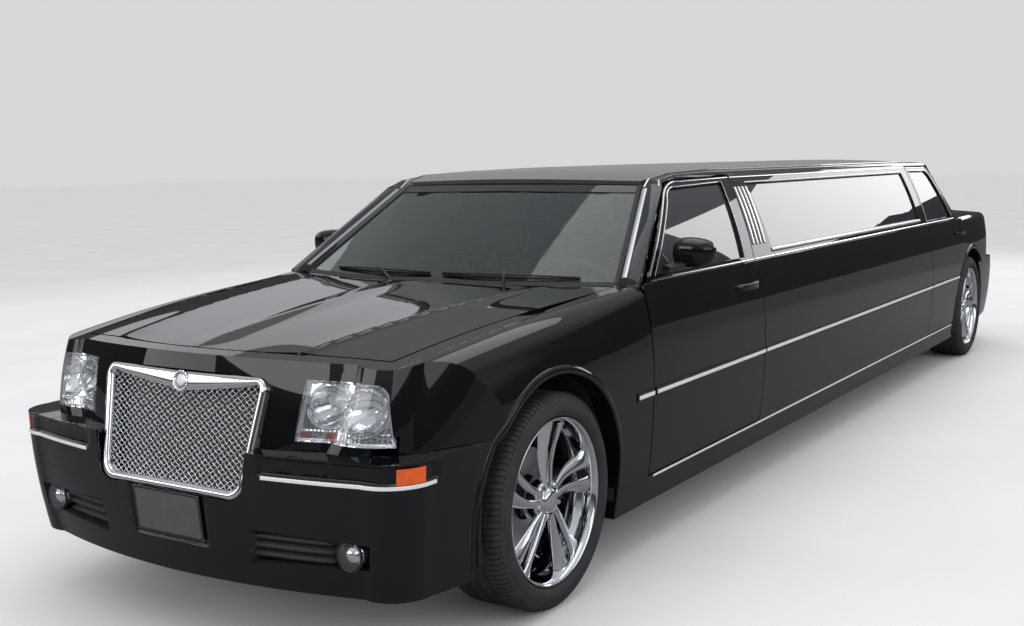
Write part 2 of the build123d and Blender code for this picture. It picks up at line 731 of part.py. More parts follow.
def make_lamp_lenses(solid, inner):
    lens = (solid - inner) & lamp_prism()
    return lens + other_side(lens)


# Mirrors
MIRROR_X = 2108
MIRROR_Y0 = 866
MIRROR_Y1 = 1036
MIRROR_Z0 = 1082
MIRROR_Z1 = 1202
MIRROR_L = 112


def make_mirror():
    """The left door mirror: a rounded shell on a foot that stands on the window's front corner."""
    head = block(MIRROR_X - MIRROR_L / 2, MIRROR_X + MIRROR_L / 2, MIRROR_Y0, MIRROR_Y1, MIRROR_Z0, MIRROR_Z1)
    front = head.faces().sort_by(Axis.X)[-1]
    head = fillet(front.edges(), 44)
    side_edges = [e for e in head.edges().filter_by(Axis.X)]
    head = fillet(side_edges, 30) if side_edges else head
    pane = block(MIRROR_X - MIRROR_L / 2 - 1, MIRROR_X - MIRROR_L / 2 + 8, MIRROR_Y0 + 12, MIRROR_Y1 - 12,
                 MIRROR_Z0 + 12, MIRROR_Z1 - 12)
    foot = face((2280, 1066), (2180, 1066), (2180, 1138))
    foot = sideways(foot, 700, 900) & house_slab(2100, 2400, GLASS_IN - 10, GLASS_IN - 0.3)
    arm = block(MIRROR_X + 10, 2230, 840, 905, 1071, 1100) & house_slab(2000, 2300, -80, GLASS_IN - 0.3)
    return head - pane + foot + arm


# Tail
LID_FRONT_X = -3345
LID_HALF_W = 704
LID_FACE_W = 600
LID_LOW_Z = 778
LID_GAP = 8
LID_PIVOT_X = LID_FRONT_X + 100
LID_PIVOT_Z = 1030
LID_ARM_Y = 560
TAIL_LAMP_Z0 = 772
TAIL_LAMP_Z1 = 994
TAIL_LAMP_T = 45


def lid_zone(grow=0):
    top = block(LID_FRONT_X + grow, TAIL_X - 50, -LID_HALF_W - grow, LID_HALF_W + grow, 1000, 1200)
    rear = block(REAR_X - 900, TAIL_X - 50, -LID_FACE_W - grow, LID_FACE_W + grow, LID_LOW_Z - grow, 1010)
    return top + rear


def make_boot_lid(shell, under_shell):
    """The boot lid: deck, rear face, an inner frame and two goose-neck arms."""
    inner_top = block(LID_FRONT_X - 30, TAIL_X, -LID_HALF_W + 40, LID_HALF_W - 40, 1000, 1200)
    hollow = block(LID_FRONT_X - 120, TAIL_X + 190, -LID_HALF_W + 140, LID_HALF_W - 140, 900, 1200)
    inner_rear = block(REAR_X - 900, TAIL_X, -LID_FACE_W + 40, LID_FACE_W - 40, LID_LOW_Z + 20, 1000)
    lid = (shell & lid_zone(-LID_GAP / 2)) + (under_shell & ((inner_top - hollow) + inner_rear))
    px, pz = LID_PIVOT_X, LID_PIVOT_Z
    neck = face(
        (px + 12, pz), (px - 22, pz - 108), (px - 176, pz - 108), (px - 190, pz + 60),
        (px - 168, pz + 60), (px - 156, pz - 88), (px - 38, pz - 88), (px - 10, pz),
    )
    for side in (-1, 1):
        y = side * LID_ARM_Y
        arm = sideways(neck, y - 9, y + 9) & rear_solid(PANEL_T + HOOD_FRAME_T - 1)
        eye = Pos(px, y, pz) * Rot(90, 0, 0) * Cylinder(14, 18)
        bore = Pos(px, y, pz) * Rot(90, 0, 0) * Cylinder(HINGE_PIN_R + HINGE_PLAY, 40)
        lid = lid + arm + eye - bore
    return lid


def make_rear_deck(shell):
    """The fixed deck ahead of the boot lid, the shelf under the rear window and the lid's hinge pins."""
    zone = block(LID_FRONT_X + LID_GAP / 2, REAR_DOOR_REAR_X - 60, -LID_HALF_W, LID_HALF_W, 1000, 1200)
    deck = (shell & zone) - make_screen(BACKLIGHT, 700, 60)
    shelf = block(LID_PIVOT_X + 26, -2480, -690, 690, 984, 1000)
    shelf = shelf + block(-2790, -2770, -450, 450, 560, 986) + block(-2790, -2770, -690, 690, 840, 986)
    wall = block(LID_PIVOT_X + 26, LID_PIVOT_X + 38, -640, 640, 1000, 1090) & rear_solid(4)
    deck = deck + shelf + wall
    for side in (-1, 1):
        y = side * LID_ARM_Y
        pin = Pos(LID_PIVOT_X, y, LID_PIVOT_Z) * Rot(90, 0, 0) * Cylinder(HINGE_PIN_R, 46)
        deck = deck + pin
        for step in (-1, 1):
            cheek_y = y + step * 19
            x0, x1 = LID_PIVOT_X - 12, LID_PIVOT_X + 30
            deck = deck + block(x0, x1, cheek_y - 4, cheek_y + 4, LID_PIVOT_Z - 12, 1050)
    return deck


def c_pillar():
    """The left roof pillar between the rear door and the rear window, from shoulder to rail."""
    low = face(
        (-2550, 884), ((-2860, 836), (-3164, 716)), (-3150, 692), ((-2850, 790), (-2560, 844))
    )
    high = face(
        (-2448, 697), ((-2540, 672), (-2634, 612)), (-2622, 590), ((-2530, 634), (-2446, 655))
    )
    return loft([Plane.XY.offset(1030) * low, Plane.XY.offset(1436) * high], ruled=True)


def make_quarter(shell):
    """The left rear quarter: side panel, arch lip, latch post, shoulder and roof pillar."""
    zone = block(REAR_DOOR_REAR_X - PANEL_GAP / 2, TAIL_X, 0, 1000, DOOR_BOTTOM_Z - PANEL_GAP, 1200)
    panel = (shell & zone) - lid_zone(LID_GAP / 2)
    panel = panel - block(LID_FRONT_X - LID_GAP, REAR_DOOR_REAR_X, -5, LID_HALF_W, 900, 1200)
    panel = panel + (arch_ring(REAR_X) & rear_solid(2) & zone)
    lip = across(
        side_strip(800, BELT_Z - 12, SKIN_T + 6, DOOR_T),
        REAR_DOOR_REAR_X - 40,
        REAR_DOOR_REAR_X + PANEL_GAP / 2 + STOP_LIP,
    )
    pillar = c_pillar() & (block(-3300, -2300, 0, 1000, BELT_Z + PANEL_GAP, 1500) + rear_solid(1))
    pillar = pillar - block(REAR_DOOR_REAR_X - 2, -2300, 0, 1000, 900, BELT_Z + PANEL_GAP)
    panel = panel + lip + pillar
    panel = panel - arch_cut(REAR_X) - block(REAR_X, TAIL_X, 0, 1000, 0, REAR_BUMPER_TOP_Z)
    return panel - tail_lamp_zone(LAMP_GAP)


def tail_lamp_zone(grow=0):
    y0 = LID_FACE_W + LID_GAP + 8 - grow
    return block(REAR_X - 770 + grow, TAIL_X - 30, y0, 1000, TAIL_LAMP_Z0 - grow, TAIL_LAMP_Z1 + grow)


def make_tail_lamps(solid, deep):
    lamp = (solid - deep) & tail_lamp_zone(0)
    return lamp + other_side(lamp)


def make_rear_bumper(shell):
    """The rear bumper cover with its ledge and the panel under the boot lid."""
    outer = plan_block(REAR_X, -1, REAR_BUMPER_LEVELS, 180, 908)
    inner = plan_block(REAR_X, -1, REAR_BUMPER_LEVELS, 180, 908, FASCIA_T)
    deep = plan_block(REAR_X, -1, REAR_BUMPER_LEVELS, 180, 908, 70)
    zone = block(REAR_X - 180, TAIL_X, -1000, 1000, REAR_BUMPER_TOP_Z - 14, REAR_BUMPER_TOP_Z)
    y1 = LID_FACE_W - 2
    panel = shell & block(REAR_X - 900, TAIL_X, -y1, y1, REAR_BUMPER_TOP_Z - 6, LID_LOW_Z - LID_GAP)
    bumper = (outer - inner) + ((outer & zone) - deep) + panel - arch_cut(REAR_X)
    for side in (-1, 1):
        bumper = bumper - block(TAIL_X - 10, TAIL_X + 260, side * 560 - 75, side * 560 + 75, 0, 290)
    return bumper


# Underbody
FLOOR_Z = 212
FLOOR_T = 30
RAIL_Y = 400
TUNNEL_Y = 150
TUNNEL_Z = 420
TUNNEL_T = 12
FLOOR_FRONT_X = FRONT_X - 640
FLOOR_REAR_X = REAR_X + 480
LINER_Y0 = 455
ARCH_RING_Y = 868
LINER_T = 5
BOOT_FLOOR_Z = 470


def make_floor():
    """Floor pan with its centre tunnel, the kick-up over the rear axle and the boot floor."""
    flat = block(FLOOR_REAR_X, FLOOR_FRONT_X, -SILL_IN_Y, SILL_IN_Y, FLOOR_Z, FLOOR_Z + FLOOR_T)
    y1, z1 = TUNNEL_Y - TUNNEL_T, TUNNEL_Z - TUNNEL_T
    hollow = block(FLOOR_REAR_X - 200, FLOOR_FRONT_X + 5, -y1, y1, 0, z1)
    tunnel = block(FLOOR_REAR_X, FLOOR_FRONT_X, -TUNNEL_Y, TUNNEL_Y, FLOOR_Z, TUNNEL_Z)
    profile = face(
        (FLOOR_REAR_X, FLOOR_Z),
        (FLOOR_REAR_X, FLOOR_Z + FLOOR_T + 20),
        (FLOOR_REAR_X - 70, 560),
        (REAR_X - 470, 560),
        (REAR_X - 560, BOOT_FLOOR_Z),
        (REAR_X - 900, BOOT_FLOOR_Z),
        (REAR_X - 900, BOOT_FLOOR_Z - 25),
        (REAR_X - 540, BOOT_FLOOR_Z - 25),
        (REAR_X - 450, 535),
        (FLOOR_REAR_X - 95, 535),
        (FLOOR_REAR_X - 25, FLOOR_Z),
    )
    kick = sideways(profile, -LINER_Y0 + LINER_T, LINER_Y0 - LINER_T)
    return flat + tunnel + kick - hollow


def make_cowl():
    """Firewall below the windscreen with the cowl panel behind the hood and the hood's hinge brackets."""
    wall = block(FRONT_X - 650, FRONT_X - 630, -712, 712, FLOOR_Z + FLOOR_T, COWL_Z - 10)
    wall = wall - block(FRONT_X - 700, FRONT_X - 600, -TUNNEL_Y, TUNNEL_Y, 0, TUNNEL_Z)
    shelf = face(
        (FRONT_X - 752, 700), (FRONT_X - 700, 715), (HOOD_REAR_X - 20, 715),
        ((HOOD_REAR_MID_X + 20, 0), (HOOD_REAR_X - 20, -715)),
        (FRONT_X - 700, -715), (FRONT_X - 752, -700), ((FRONT_X - 560, 0), (FRONT_X - 752, 700)),
    )
    z, x, y, middle = WINDSCREEN[0]
    sill = [(COWL_Z, x, y - 20, middle), (z, x, y - 20, middle)]
    cowl = upwards(shelf, COWL_Z - 10, COWL_Z) + wall + make_screen(sill)
    for side in (-1, 1):
        y = side * HOOD_HINGE_Y
        pin = Pos(HOOD_HINGE_X, y, HOOD_HINGE_Z) * Rot(90, 0, 0) * Cylinder(HINGE_PIN_R, 44)
        cowl = cowl + pin
        for step in (-1, 1):
            cheek_y = y + step * 19
            x0, x1 = HOOD_HINGE_X - 12, HOOD_HINGE_X + 12
            cowl = cowl + block(x0, x1, cheek_y - 4, cheek_y + 4, 930, HOOD_HINGE_Z + 10)
        foot = block(HOOD_HINGE_X - 12, HOOD_HINGE_X + 12, side * 700, y + side * 23, 918, 932)
        cowl = cowl + foot
    return cowl


FRAME_Z0 = 300
FRAME_Z1 = 400


def make_front_frame():
    """Two front rails, the cross members under the engine and behind the bumper, and the radiator."""
    frame = block(FRONT_X - 630, FRONT_X + 625, RAIL_Y - 60, RAIL_Y, FRAME_Z0, FRAME_Z1)
    frame = frame + other_side(frame)
    frame = frame + block(FRONT_X - 90, FRONT_X + 90, -RAIL_Y, RAIL_Y, 222, FRAME_Z0 + 10)
    frame = frame + block(FRONT_X + 620, FRONT_X + 680, -620, 620, 390, 520)
    frame = frame + block(FRONT_X + 590, FRONT_X + 640, -350, 350, FRAME_Z0, 850)
    for side in (-1, 1):
        y0, y1 = side * (RAIL_Y - 60), side * (RAIL_Y + 25)
        tower = block(FRONT_X - 80, FRONT_X + 80, y0, y1, FRAME_Z1, 800)
        shelf = block(FRONT_X - 80, FRONT_X + 80, y1, side * (RAIL_Y + 210), TOWER_Z, TOWER_Z + 20)
        frame = frame + tower + shelf
    return frame


def make_engine():
    lower = block(FRONT_X - 420, FRONT_X + 330, -210, 210, FRAME_Z0 + 10, 560)
    upper = block(FRONT_X - 380, FRONT_X + 290, -310, 310, 560, 800)
    return lower + upper + block(FRONT_X - 600, FRONT_X - 420, -130, 130, 320, 400)


ARM_LOW_Z = 235
ARM_HIGH_Z = 505
BALL_R = 17


def wishbone(z, root):
    """One left suspension arm in plan, from the frame at root to the steering ball."""
    flat = face(
        (FRONT_X - 150, root), (FRONT_X + 150, root), (FRONT_X + 150, root + 40),
        (FRONT_X + 21, STEER_AXIS_Y + 10), (FRONT_X - 21, STEER_AXIS_Y + 10), (FRONT_X - 150, root + 40),
    )
    flat = flat - face((FRONT_X - 85, root + 40), (FRONT_X + 85, root + 40), (FRONT_X, root + 100))
    arm = upwards(flat, z - 12, z + 12)
    return arm - Pos(FRONT_X, STEER_AXIS_Y, z) * Cylinder(BALL_R + HINGE_PLAY, 60)


def make_front_suspension():
    """Both front wishbone pairs and the spring struts that stand on the lower ones."""
    low = wishbone(ARM_LOW_Z, RAIL_Y)
    high = wishbone(ARM_HIGH_Z, RAIL_Y + 25)
    high = high - Pos(FRONT_X, STRUT_Y, ARM_HIGH_Z) * Cylinder(STRUT_R + 8, 60)
    strut = rod((FRONT_X, STRUT_Y, ARM_LOW_Z + 12), (FRONT_X, STRUT_Y, TOWER_Z), STRUT_R)
    spring = rod((FRONT_X, STRUT_Y, 590), (FRONT_X, STRUT_Y, TOWER_Z), 46)
    left = [low, high, strut + spring]
    return Compound(children=left + [other_side(piece) for piece in left])


STRUT_Y = 550
STRUT_R = 26
TOWER_Z = 780
SPINDLE_R = 31
SPINDLE_Y = TRACK_HALF + 30
KNUCKLE_Y = 730
CALIPER_R = 215


def make_knuckle():
    """The left steering knuckle: upright, two ball pins, the wheel's spindle and the brake caliper."""
    upright = block(FRONT_X - 32, FRONT_X + 32, STEER_AXIS_Y - 28, STEER_AXIS_Y + 8, 268, 472)
    web = Pos(FRONT_X, KNUCKLE_Y, TYRE_R) * Rot(90, 0, 0) * Cylinder(62, 26)
    spindle = rod((FRONT_X, KNUCKLE_Y, TYRE_R), (FRONT_X, SPINDLE_Y, TYRE_R), SPINDLE_R)
    knuckle = upright + web + spindle
    for z0, z1 in ((ARM_LOW_Z - 14, 270), (470, ARM_HIGH_Z + 14)):
        knuckle = knuckle + rod((FRONT_X, STEER_AXIS_Y, z0), (FRONT_X, STEER_AXIS_Y, z1), BALL_R)
    caliper = face((-CALIPER_R, -55), (-CALIPER_R, 55), (-128, 42), (-128, -42))
    caliper = sideways(Pos(FRONT_X, TYRE_R) * caliper, DISC_Y - 34, DISC_Y + 34)
    slot = Pos(FRONT_X, DISC_Y, TYRE_R) * Rot(90, 0, 0) * Cylinder(DISC_R + 6, DISC_T + 10)
    bridge = block(FRONT_X - 205, FRONT_X, KNUCKLE_Y - 13, DISC_Y - 22, TYRE_R - 30, TYRE_R + 30)
    bridge = bridge - block(FRONT_X - 120, FRONT_X, KNUCKLE_Y + 3, DISC_Y, 0, 900)
    return knuckle + (caliper - slot) + (bridge - slot)


DISC_Y = 781
DISC_T = 26
SPOKE_PAIRS = 5
SPOKE_T = 30
HUB_BORE_R = SPINDLE_R + HINGE_PLAY


def revolve_about_axle(profile):
    """Turns a closed outline of (distance from the axle, y) about the wheel's axle line at the origin."""
    flat = Plane.XY * face(*[(r, y) for r, y in profile])
    return revolve(flat, Axis.Y)


def spoke_blade(sign):
    """One blade of a pair: a curved bar that leaves the hub beside its twin and ends apart at the rim."""
    s = sign
    flat = face(
        (50, s * 4),
        ((150, s * 22), (276, s * 52)),
        (276, s * 84),
        ((160, s * 62), (56, s * 30)),
    )
    return extrude(Plane.XZ * flat, SPOKE_T, both=True)


def make_wheel():
    """A chrome wheel at the origin: barrel with a deep lip, five pairs of curved spokes, hub and disc."""
    barrel = revolve_about_axle([
        (RIM_R, 121), (RIM_R, 113), (BEAD_R, 106), (BEAD_R, 60), (262, 40), (262, -60),
        (BEAD_R, -80), (BEAD_R, -106), (RIM_R, -113), (RIM_R, -121), (RIM_R - 8, -121),
        (BEAD_R - 11, -100), (254, -70), (254, 40), (268, 66), (270, 104), (RIM_R - 10, 121),
    ])
    hub = revolve_about_axle([
        (HUB_BORE_R, -10), (HUB_R, -10), (HUB_R, 40), (70, 84), (40, 90), (34, 104), (0, 106), (0, 60),
        (HUB_BORE_R, 60),
    ])
    disc = revolve_about_axle([
        (HUB_R - 6, -8), (HUB_R - 6, DISC_Y - TRACK_HALF - 13), (DISC_R, DISC_Y - TRACK_HALF - 13),
        (DISC_R, DISC_Y - TRACK_HALF + 13), (HUB_R + 10, DISC_Y - TRACK_HALF + 13), (HUB_R + 10, -2),
    ])
    bowl = revolve_about_axle([
        (HUB_BORE_R + 5, 34), (60, 34), (200, 52), (272, 64), (272, 92), (200, 88), (120, 78), (60, 92),
        (HUB_BORE_R + 5, 92),
    ])
    wheel = barrel + hub + disc
    for i in range(SPOKE_PAIRS):
        turn = Rot(0, 360 / SPOKE_PAIRS * i + 18, 0)
        for sign in (-1, 1):
            wheel = wheel + (turn * (Pos(0, 64, 0) * spoke_blade(sign)) & bowl)
    return wheel


def make_tyre():
    """A low tyre at the origin, with a rounded shoulder and three tread grooves."""
    half = TYRE_W / 2
    flat = face(
        (BEAD_R + 0.3, -104),
        (BEAD_R + 10.5, -111),
        ((318, -half - 4), (356, -half + 10)),
        ((366, -half + 18), (TYRE_R, -half + 34)),
        (TYRE_R, half - 34),
        ((366, half - 18), (356, half - 10)),
        ((318, half + 4), (BEAD_R + 10.5, 111)),
        (BEAD_R + 0.3, 104),
    )
    tyre = revolve(Plane.XY * flat, Axis.Y)
    for y in (-48, 0, 48):
        low, high = TYRE_R - 7, TYRE_R + 4
        tyre = tyre - revolve_about_axle([(low, y - 5), (high, y - 5), (high, y + 5), (low, y + 5)])
    return tyre


def make_rear_axle():
    """Final drive, half shafts, trailing arms, springs and the fixed spindles of the rear wheels."""
    axle = Pos(REAR_X, 0, TYRE_R) * Rot(90, 0, 0) * Cylinder(115, 200)
    axle = axle + rod((REAR_X, 0, TYRE_R), (REAR_X + 220, 0, TYRE_R), 60)
    for side in (-1, 1):
        axle = axle + rod((REAR_X, side * 90, TYRE_R), (REAR_X, side * 720, TYRE_R), 22)
        axle = axle + rod((REAR_X, side * 700, TYRE_R), (REAR_X, side * SPINDLE_Y, TYRE_R), SPINDLE_R)
        hub = block(REAR_X - 60, REAR_X + 60, side * 690, side * 735, TYRE_R - 90, TYRE_R + 90)
        arm = rod((REAR_X, side * 700, 312), (REAR_X + 30, side * 300, 312), 24)
        rail = block(REAR_X - 120, REAR_X + 120, side * 270, side * 330, 290, 400)
        spring = rod((REAR_X - 90, side * 390, 300), (REAR_X - 90, side * 390, 535), 45)
        axle = axle + hub + arm + rail + spring
    cross = block(REAR_X - 140, REAR_X + 120, -440, 440, 270, 300)
    return axle + cross


def make_exhaust():
    """Two pipes from the engine back to the silencers and the tips under the rear bumper."""
    solids = []
    for side in (-1, 1):
        y = side * 230
        down = rod((FRONT_X - 440, side * 190, 330), (FRONT_X - 500, y, 178), 28)
        pipe = rod((FRONT_X - 500, y, 178), (REAR_X + 560, y, 178), 28)
        box = block(REAR_X + 600, REAR_X + 1150, y - 85, y + 85, 146, FLOOR_Z)
        pipe = pipe + rod((REAR_X + 560, y, 178), (REAR_X + 455, y, 178), 28)
        rise = rod((REAR_X + 455, y, 178), (REAR_X + 250, side * 205, 225), 28)
        over = rod((REAR_X + 250, side * 205, 225), (REAR_X - 330, side * 205, 225), 28)
        away = rod((REAR_X - 330, side * 205, 225), (REAR_X - 560, side * 560, 240), 28)
        tip = rod((REAR_X - 560, side * 560, 240), (TAIL_X + 40, side * 560, 240), 34)
        solids.append(down + pipe + box + rise + over + away + tip - make_engine())
    shaft = rod((FRONT_X - 600, 0, 352), (REAR_X + 220, 0, 352), 38)
    return Compound(children=solids + [shaft])


def make_liner(axle_x, walled):
    """A left wheel arch liner: a half tube over the tyre with an inner wall."""
    r = ARCH_R + ARCH_LIP - LINER_T
    y0, y1 = LINER_Y0, ARCH_RING_Y
    tube = Pos(axle_x, (y0 + y1) / 2, TYRE_R) * Rot(90, 0, 0) * Cylinder(r + LINER_T, y1 - y0)
    tube = tube - Pos(axle_x, (y0 + y1) / 2, TYRE_R) * Rot(90, 0, 0) * Cylinder(r, y1 - y0 + 2)
    if walled:
        tube = tube + Pos(axle_x, y0 - LINER_T / 2, TYRE_R) * Rot(90, 0, 0) * Cylinder(r + LINER_T, LINER_T)
    return tube & block(axle_x - 600, axle_x + 600, 0, y1, TYRE_R + 40, 1000)


# Cabin
def make_dashboard():
    profile = face(
        (FRONT_X - 650, COWL_Z - 10), (2395, COWL_Z - 10), ((2250, 998), (2150, 965)), (2118, 900),
        (2150, 800), (2200, 720), (2300, 700), (2340, 760), (FRONT_X - 650, 860),
    )
    dash = sideways(profile, -700, 700)
    hood = sideways(face((2180, 960), (2110, 985), ((2130, 1010), (2230, 985))), 240, 560)
    return dash + hood


STEER_WHEEL = (1992, 400, 905)
STEER_WHEEL_R = 188


def make_steering_wheel():
    plane = Plane(STEER_WHEEL, z_dir=(-0.9, 0, 0.42))
    ring = plane * Torus(STEER_WHEEL_R, 15)
    hub = plane * Cylinder(55, 34)
    bar = Pos(STEER_WHEEL_R / 2, 0, 0) * Box(STEER_WHEEL_R, 30, 14)
    column = rod(STEER_WHEEL, (2160, STEER_WHEEL[1], 826), 22)
    wheel = ring + hub + column
    for angle in (0, 180, 270):
        wheel = wheel + plane * Rot(0, 0, angle) * bar
    return wheel


def make_seat(x, y, width):
    """A front seat: cushion, leaning back and head rest."""
    profile = face(
        (x + 500, 300), (x + 520, 430), ((x + 440, 470), (x + 150, 425)), (x + 110, 470), (x - 40, 1000),
        ((x - 60, 1040), (x - 110, 1030)), (x - 130, 990), (x - 20, 420), (x + 20, 300),
    )
    seat = sideways(profile, y - width / 2, y + width / 2)
    pad = face((x - 60, 1052), (x - 48, 1180), ((x - 90, 1200), (x - 130, 1180)), (x - 132, 1052))
    rest = sideways(pad, y - 130, y + 130)
    posts = block(x - 100, x - 84, y - 60, y - 48, 1000, 1060)
    posts = posts + block(x - 100, x - 84, y + 48, y + 60, 1000, 1060)
    base = block(x + 40, x + 480, y - width / 2 + 40, y + width / 2 - 40, FLOOR_Z + FLOOR_T, 300)
    return seat + rest + posts + base


SEAT_Y = 425
PARTITION_X = 1215


def make_partition():
    """The wall between the driver and the lounge, with an opening for its sliding window."""
    z0 = FLOOR_Z + FLOOR_T
    flat = face(
        (-742, z0), (742, z0), (772, 700), (742, 1030), (620, 1400), ((0, 1440), (-620, 1400)),
        (-742, 1030), (-772, 700),
    )
    wall = across(flat, PARTITION_X - 30, PARTITION_X)
    wall = wall - block(PARTITION_X - 40, PARTITION_X + 10, -420, 420, 1010, 1340)
    return wall - block(PARTITION_X - 40, PARTITION_X + 10, -TUNNEL_Y, TUNNEL_Y, 0, TUNNEL_Z)


def lounge_profile(depth):
    """A bench section: base, cushion and back, as (distance from the wall, z)."""
    z0 = FLOOR_Z + FLOOR_T
    return [
        (0, z0), (depth - 60, z0), (depth - 60, 330), (depth, 350), (depth - 10, 450), (190, 430), (110, 880),
        (30, 890), (0, 860),
    ]


def make_lounge():
    """The rear bench and the long side bench of the lounge."""
    flat = face(*[(-2470 + d, z) for d, z in lounge_profile(560)])
    rear = sideways(flat, -730, 730)
    flat = face(*[(-775 + d, z) for d, z in lounge_profile(520)])
    side = across(flat, -1910, 1050)
    seats = rear + side
    return seats - block(-3000, 2000, -TUNNEL_Y, TUNNEL_Y, 0, TUNNEL_Z)


def make_bar():
    """The bar console along the lounge's left wall."""
    z0 = FLOOR_Z + FLOOR_T
    flat = face((772, z0), (470, z0), (450, 640), (430, 660), (430, 700), (774, 700))
    bar = across(flat, -1200, 900)
    for x in (-900, -300, 300):
        bar = bar - block(x + 30, x + 540, 425, 640, 330, 600)
    return bar


def largest(shape):
    return max(shape.solids(), key=lambda solid: solid.volume)


def build():
    """Every node of the car, by name."""
    front, front_inner = front_solid(), front_solid(PANEL_T)
    front_under = front_inner - front_solid(PANEL_T + HOOD_FRAME_T)
    front_shell = front - front_inner
    rear, rear_inner = rear_solid(), rear_solid(PANEL_T)
    rear_under = rear_inner - rear_solid(PANEL_T + HOOD_FRAME_T)
    rear_shell = rear - rear_inner

    left = {
        "body_side": make_body_side(),
        "fender": make_fender(front_shell),
        "door_front": make_door(FRONT_DOOR_FRONT_X, FRONT_DOOR_REAR_X, FRONT_FRAME, FRONT_WINDOW, 1457),
        "door_rear": make_door(REAR_DOOR_FRONT_X, REAR_DOOR_REAR_X, REAR_FRAME, REAR_WINDOW, -2615)
        - arch_cut(REAR_X, REAR_DOOR_ARCH_R),
        "door_glass_front": make_door_glass(FRONT_WINDOW, FRONT_DOOR_FRONT_X, FRONT_DOOR_REAR_X),
        "door_glass_rear": make_door_glass(REAR_WINDOW, REAR_DOOR_FRONT_X, REAR_DOOR_REAR_X),
        "mirror": make_mirror(),
        "knuckle": make_knuckle(),
    }
    rear_bumper = make_rear_bumper(rear_shell)
    left["quarter"] = make_quarter(rear_shell) - left["body_side"] - rear_bumper
    wheel, tyre = make_wheel(), make_tyre()
    for axle_x, place in ((FRONT_X, "front"), (REAR_X, "rear")):
        left[f"wheel_{place}"] = Pos(axle_x, TRACK_HALF, TYRE_R) * wheel
        left[f"tyre_{place}"] = Pos(axle_x, TRACK_HALF, TYRE_R) * tyre
    nodes = {}
    for name, solid in left.items():
        nodes[f"{name}_left"] = solid
        nodes[f"{name}_right"] = other_side(solid)

    nodes["hood"] = make_hood(front_shell, front_inner, front_under)
    nodes["nose_panel"] = make_nose_panel(front_shell)
    nodes["front_bumper"] = make_front_bumper(front_shell)
    nodes["grille"] = make_grille()
    nodes["front_lamps"] = make_front_lamps(front, front_solid(LENS_T + 0.3))
    nodes["lamp_lenses"] = make_lamp_lenses(front, front_solid(LENS_T))
    nodes["boot_lid"] = make_boot_lid(rear_shell, rear_under)
    nodes["rear_deck"] = make_rear_deck(rear_shell)
    nodes["tail_lamps"] = make_tail_lamps(rear, rear_solid(TAIL_LAMP_T))
    nodes["rear_bumper"] = rear_bumper

    sides = [nodes["body_side_left"], nodes["body_side_right"]]
    quarters = [nodes["quarter_left"], nodes["quarter_right"]]
    nodes["roof"] = make_roof() - sides - quarters
    nodes["rear_deck"] = nodes["rear_deck"] - quarters
    screen = make_screen(WINDSCREEN) - nodes["roof"] - sides - [nodes["fender_left"], nodes["fender_right"]]
    backlight = make_screen(BACKLIGHT) - nodes["roof"] - sides - quarters - nodes["rear_deck"]
    window = make_long_window()
    windows = [largest(screen), largest(backlight), window, other_side(window)]
    nodes["fixed_windows"] = Compound(children=windows)

    nodes["floor_pan"] = make_floor()
    nodes["cowl"] = make_cowl()
    nodes["front_frame"] = make_front_frame()
    nodes["engine_block"] = make_engine()
    nodes["front_suspension"] = make_front_suspension()
    nodes["rear_axle"] = make_rear_axle()
    nodes["exhaust_and_shaft"] = make_exhaust()
    liners = [make_liner(FRONT_X, False), make_liner(REAR_X, True)]
    liners = [largest(liner - nodes["front_bumper"] - rear_bumper) for liner in liners]
    nodes["wheel_liners"] = Compound(children=liners + [other_side(liner) for liner in liners])

    nodes["dashboard"] = make_dashboard() - nodes["cowl"]
    nodes["steering_wheel"] = make_steering_wheel() - nodes["dashboard"]
    seat = make_seat(1450, SEAT_Y, 520)
    nodes["seats"] = Compound(children=[seat, other_side(seat), *make_lounge().solids()])
    nodes["partition"] = make_partition()
    nodes["bar_console"] = make_bar()
    return nodes


os.makedirs("parts", exist_ok=True)
for node_name, node_shape in build().items():
    export_step(node_shape, f"parts/{node_name}.step")
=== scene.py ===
"""Looks of the stretch limousine: finishes, smooth skins, trim, lamps, wheels, tyres and the inside."""
import json
import math

import bmesh
import bpy
import numpy as np
from mathutils import Matrix, Vector
from mathutils.bvhtree import BVHTree
from mathutils.interpolate import poly_3d_calc


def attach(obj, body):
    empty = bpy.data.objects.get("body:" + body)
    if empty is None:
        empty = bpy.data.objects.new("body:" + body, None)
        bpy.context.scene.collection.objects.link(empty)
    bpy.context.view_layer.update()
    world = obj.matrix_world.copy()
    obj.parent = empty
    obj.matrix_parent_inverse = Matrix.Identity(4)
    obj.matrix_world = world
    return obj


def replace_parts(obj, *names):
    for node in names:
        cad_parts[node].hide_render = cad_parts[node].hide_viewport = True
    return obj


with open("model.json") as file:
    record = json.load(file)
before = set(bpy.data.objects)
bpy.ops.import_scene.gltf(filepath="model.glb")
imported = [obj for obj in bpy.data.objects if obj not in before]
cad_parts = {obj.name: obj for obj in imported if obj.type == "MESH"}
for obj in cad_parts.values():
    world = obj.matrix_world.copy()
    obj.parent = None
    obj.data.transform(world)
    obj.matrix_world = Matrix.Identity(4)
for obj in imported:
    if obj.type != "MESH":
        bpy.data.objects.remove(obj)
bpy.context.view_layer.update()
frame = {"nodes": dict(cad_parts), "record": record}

# Driving dimensions in metres, as in the part's source
NOSE_X = 4.0235
FRONT_X = NOSE_X - 0.880
REAR_X = FRONT_X - 6.096
HALF_WIDTH = 0.940
WAIST_Z = 0.700
LOWER_SIDE_R = 3.130
UPPER_SIDE_R = 1.250
SILL_Z = 0.190
BELT_Z = 1.040
RAIL_Z = 1.426
GLASS_BASE_Y = 0.884
GLASS_TOP_Y = 0.696
GLASS_BULGE = 0.014
TYRE_R = 0.372
TRACK_HALF = 0.800
